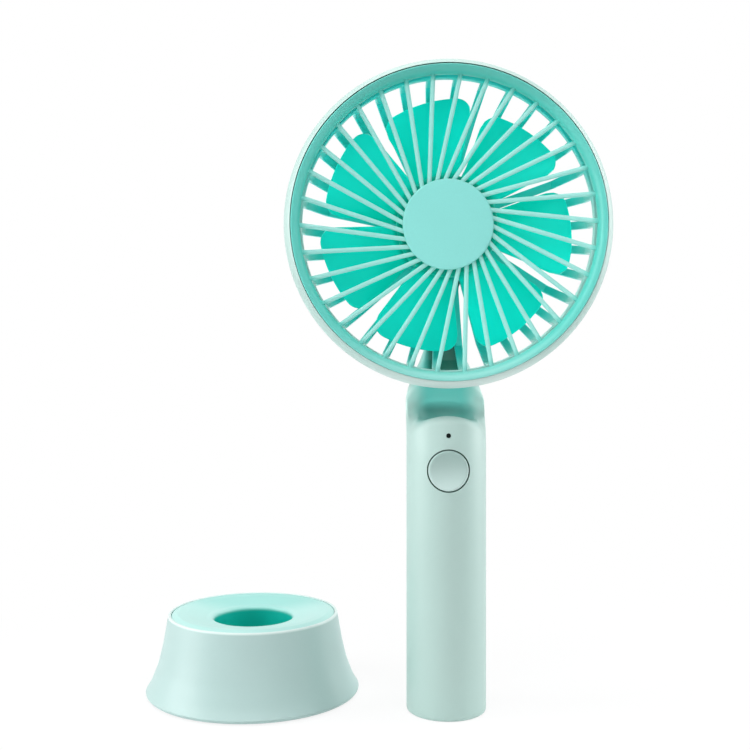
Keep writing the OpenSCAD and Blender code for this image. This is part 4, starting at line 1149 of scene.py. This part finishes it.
def makeGuard():
    flange = lathe("flange", rounded(guard["flange"], 3), headCentre, steps=240)
    sleeve = lathe("sleeve", rounded(guard["sleeve"], 4), headCentre, steps=120)
    ribs = barRing("ribs", guard["ribPath"], guard["ribSide"], guard["rib"], "mint_plastic")
    handOver(joined("guardMoulding", [flange, sleeve, ribs]), "handle", ["rear_guard"], "guard")


makeRim()
makeGrille()
makeCap()
makeImpeller()
makeGuard()


# desk stand

skirt = {
    "profile": [(28.9, 27.1), (29.42, 24.07), (30.62, 17.2), (32.3, 10.3), (34.7, 4.2), (35.75, 2.5),
                (36.35, 1.6)],
    "easePasses": 6, "wall": 2.0, "edge": 0.9, "edgeRounds": (0.25, 0.45), "footRound": 1.2, "footSteps": 6,
    "ledge": (24.3, 22.5, 24.0), "ledgeRoot": 27.4, "ledgeRound": 0.2,  # ledge: inner radius, underside, top
    "innerEnds": (1.2, 0.5), "innerFoot": (0.2, 0.45),
}


def skirtCurve(inset, steps=40):  # from the top down, moved inwards by inset
    heights = np.linspace(skirt["profile"][0][1], skirt["profile"][-1][1], steps + 1)
    radii = np.interp(heights[::-1], *np.array(skirt["profile"][::-1]).T[::-1])[::-1]
    for _ in range(skirt["easePasses"]):  # eases the corners of the measured profile
        radii[1:-1] = (radii[:-2] + 2 * radii[1:-1] + radii[2:]) / 4
    return [(radius - inset, height) for radius, height in zip(radii, heights)]


def standLathe(name, corners, steps, filletSteps=4):
    return lathe(name, rounded(corners, filletSteps), standCentre, axis="z", steps=steps)


def makeSkirt():
    inner, under, top = skirt["ledge"]
    outer, height = skirt["profile"][0]
    rebate = outer - skirt["edge"]
    innerRound, outerRound = skirt["edgeRounds"]
    corners = [(rebate, top), (rebate, height, innerRound), (outer, height, outerRound)]
    corners += skirtCurve(0)[1:-1]
    (footRadius, footHeight), footRound = skirt["profile"][-1], skirt["footRound"]
    for k in range(skirt["footSteps"] + 1):
        turn = math.pi / 2 * k / skirt["footSteps"]
        radius = footRadius - footRound * (1 - math.cos(turn))
        corners.append((radius, footHeight - footRound * math.sin(turn)))
    lowest, gap = skirt["innerEnds"]
    inside = [point for point in skirtCurve(skirt["wall"]) if lowest < point[1] < under - gap]
    step, start = skirt["innerFoot"]
    corners += [(inside[-1][0] + step, start)] + inside[::-1] + [(skirt["ledgeRoot"], under)]
    corners += [(inner, under, skirt["ledgeRound"]), (inner, top, skirt["ledgeRound"])]
    handOver(standLathe("skirtShell", corners, 240), "stand", ["stand_skirt"], "skirt")


dish = {
    "outline": [(0, 3.0), (15.2, 3.0), (15.2, 22.5), (24.2, 22.5), (24.2, 24.1), (27.9, 24.1),
                (27.9, 26.75, 0.4), (25.8, 27.5, 2.0), (22.6, 27.2, 3.0), (16.0, 25.7, 2.0),
                (13.4, 25.5, 1.5), (13.4, 4.8, 0.5), (0, 4.8)],
}


def makeDish():
    handOver(standLathe("dishTop", dish["outline"], 240, 8), "stand", ["stand_top"], "dish")


screws = {
    "count": 3, "ring": 21.5, "firstAngle": 30.0, "head": 1.75, "crown": 0.55, "heights": (1.15, 1.3, 1.8),
    "rounds": (0.3, 0.2), "shank": (0.9, 8.8), "slot": (1.1, 0.16), "slotDepth": (0.5, 1.55),
}
base = {
    "outline": [(0, 1.0), (33.15, 1.0, 0.4), (33.15, 2.6), (0, 2.6)],
    "sink": 1.85, "sinkDepth": (0, 1.8),
}


def makeBase():
    plate = standLathe("basePlate", base["outline"], 180)
    sinks = []
    for k in range(screws["count"]):
        turn = math.radians(screws["firstAngle"] + 360 / screws["count"] * k)
        place = standCentre + np.array((math.cos(turn), math.sin(turn), 0)) * screws["ring"]
        sinks.append(rod("sink", base["sink"], *base["sinkDepth"], place, axis="z", steps=40))
    combine(plate, joined("sinks", sinks), "DIFFERENCE")
    handOver(plate, "stand", ["stand_base_plate"])


foot = {"width": 6.0, "edgeRound": 0.35}


def makeFootRing():
    low, high = boxOf("stand_foot_ring")
    outer = (high[0] - low[0]) / 2
    inner, edge = outer - foot["width"], foot["edgeRound"]
    corners = [(inner, low[2], edge), (outer, low[2], edge), (outer, high[2]), (inner, high[2])]
    handOver(standLathe("footRing", corners, 180), "stand", ["stand_foot_ring"])


def makeScrews():
    radius, (shank, end) = screws["head"], screws["shank"]
    (face, edge, top), (faceRound, edgeRound) = screws["heights"], screws["rounds"]
    outline = rounded([(0, face), (radius * screws["crown"], face, faceRound), (radius, edge, edgeRound),
                       (radius, top), (shank, top), (shank, end), (0, end)], 4)
    place = np.array((screws["ring"], 0, 0))
    screw = lathe("standScrewSet", outline, place, axis="z", steps=36)
    for size in (screws["slot"], screws["slot"][::-1]):
        signs = ((-1, -1), (1, -1), (1, 1), (-1, 1))
        ends = [[(place[0] + sx * size[0], sy * size[1], z) for sx, sy in signs] for z in screws["slotDepth"]]
        combine(screw, drum("slot", *ends), "DIFFERENCE")
    copyRing(screw, screws["count"], screws["firstAngle"], (0, 0, 1), standCentre, "steel")
    handOver(screw, "stand", ["stand_screws"])


def makeStand():
    makeSkirt()
    makeDish()
    makeBase()
    makeFootRing()
    makeScrews()


makeStand()

scene.view_settings.view_transform = "Standard"
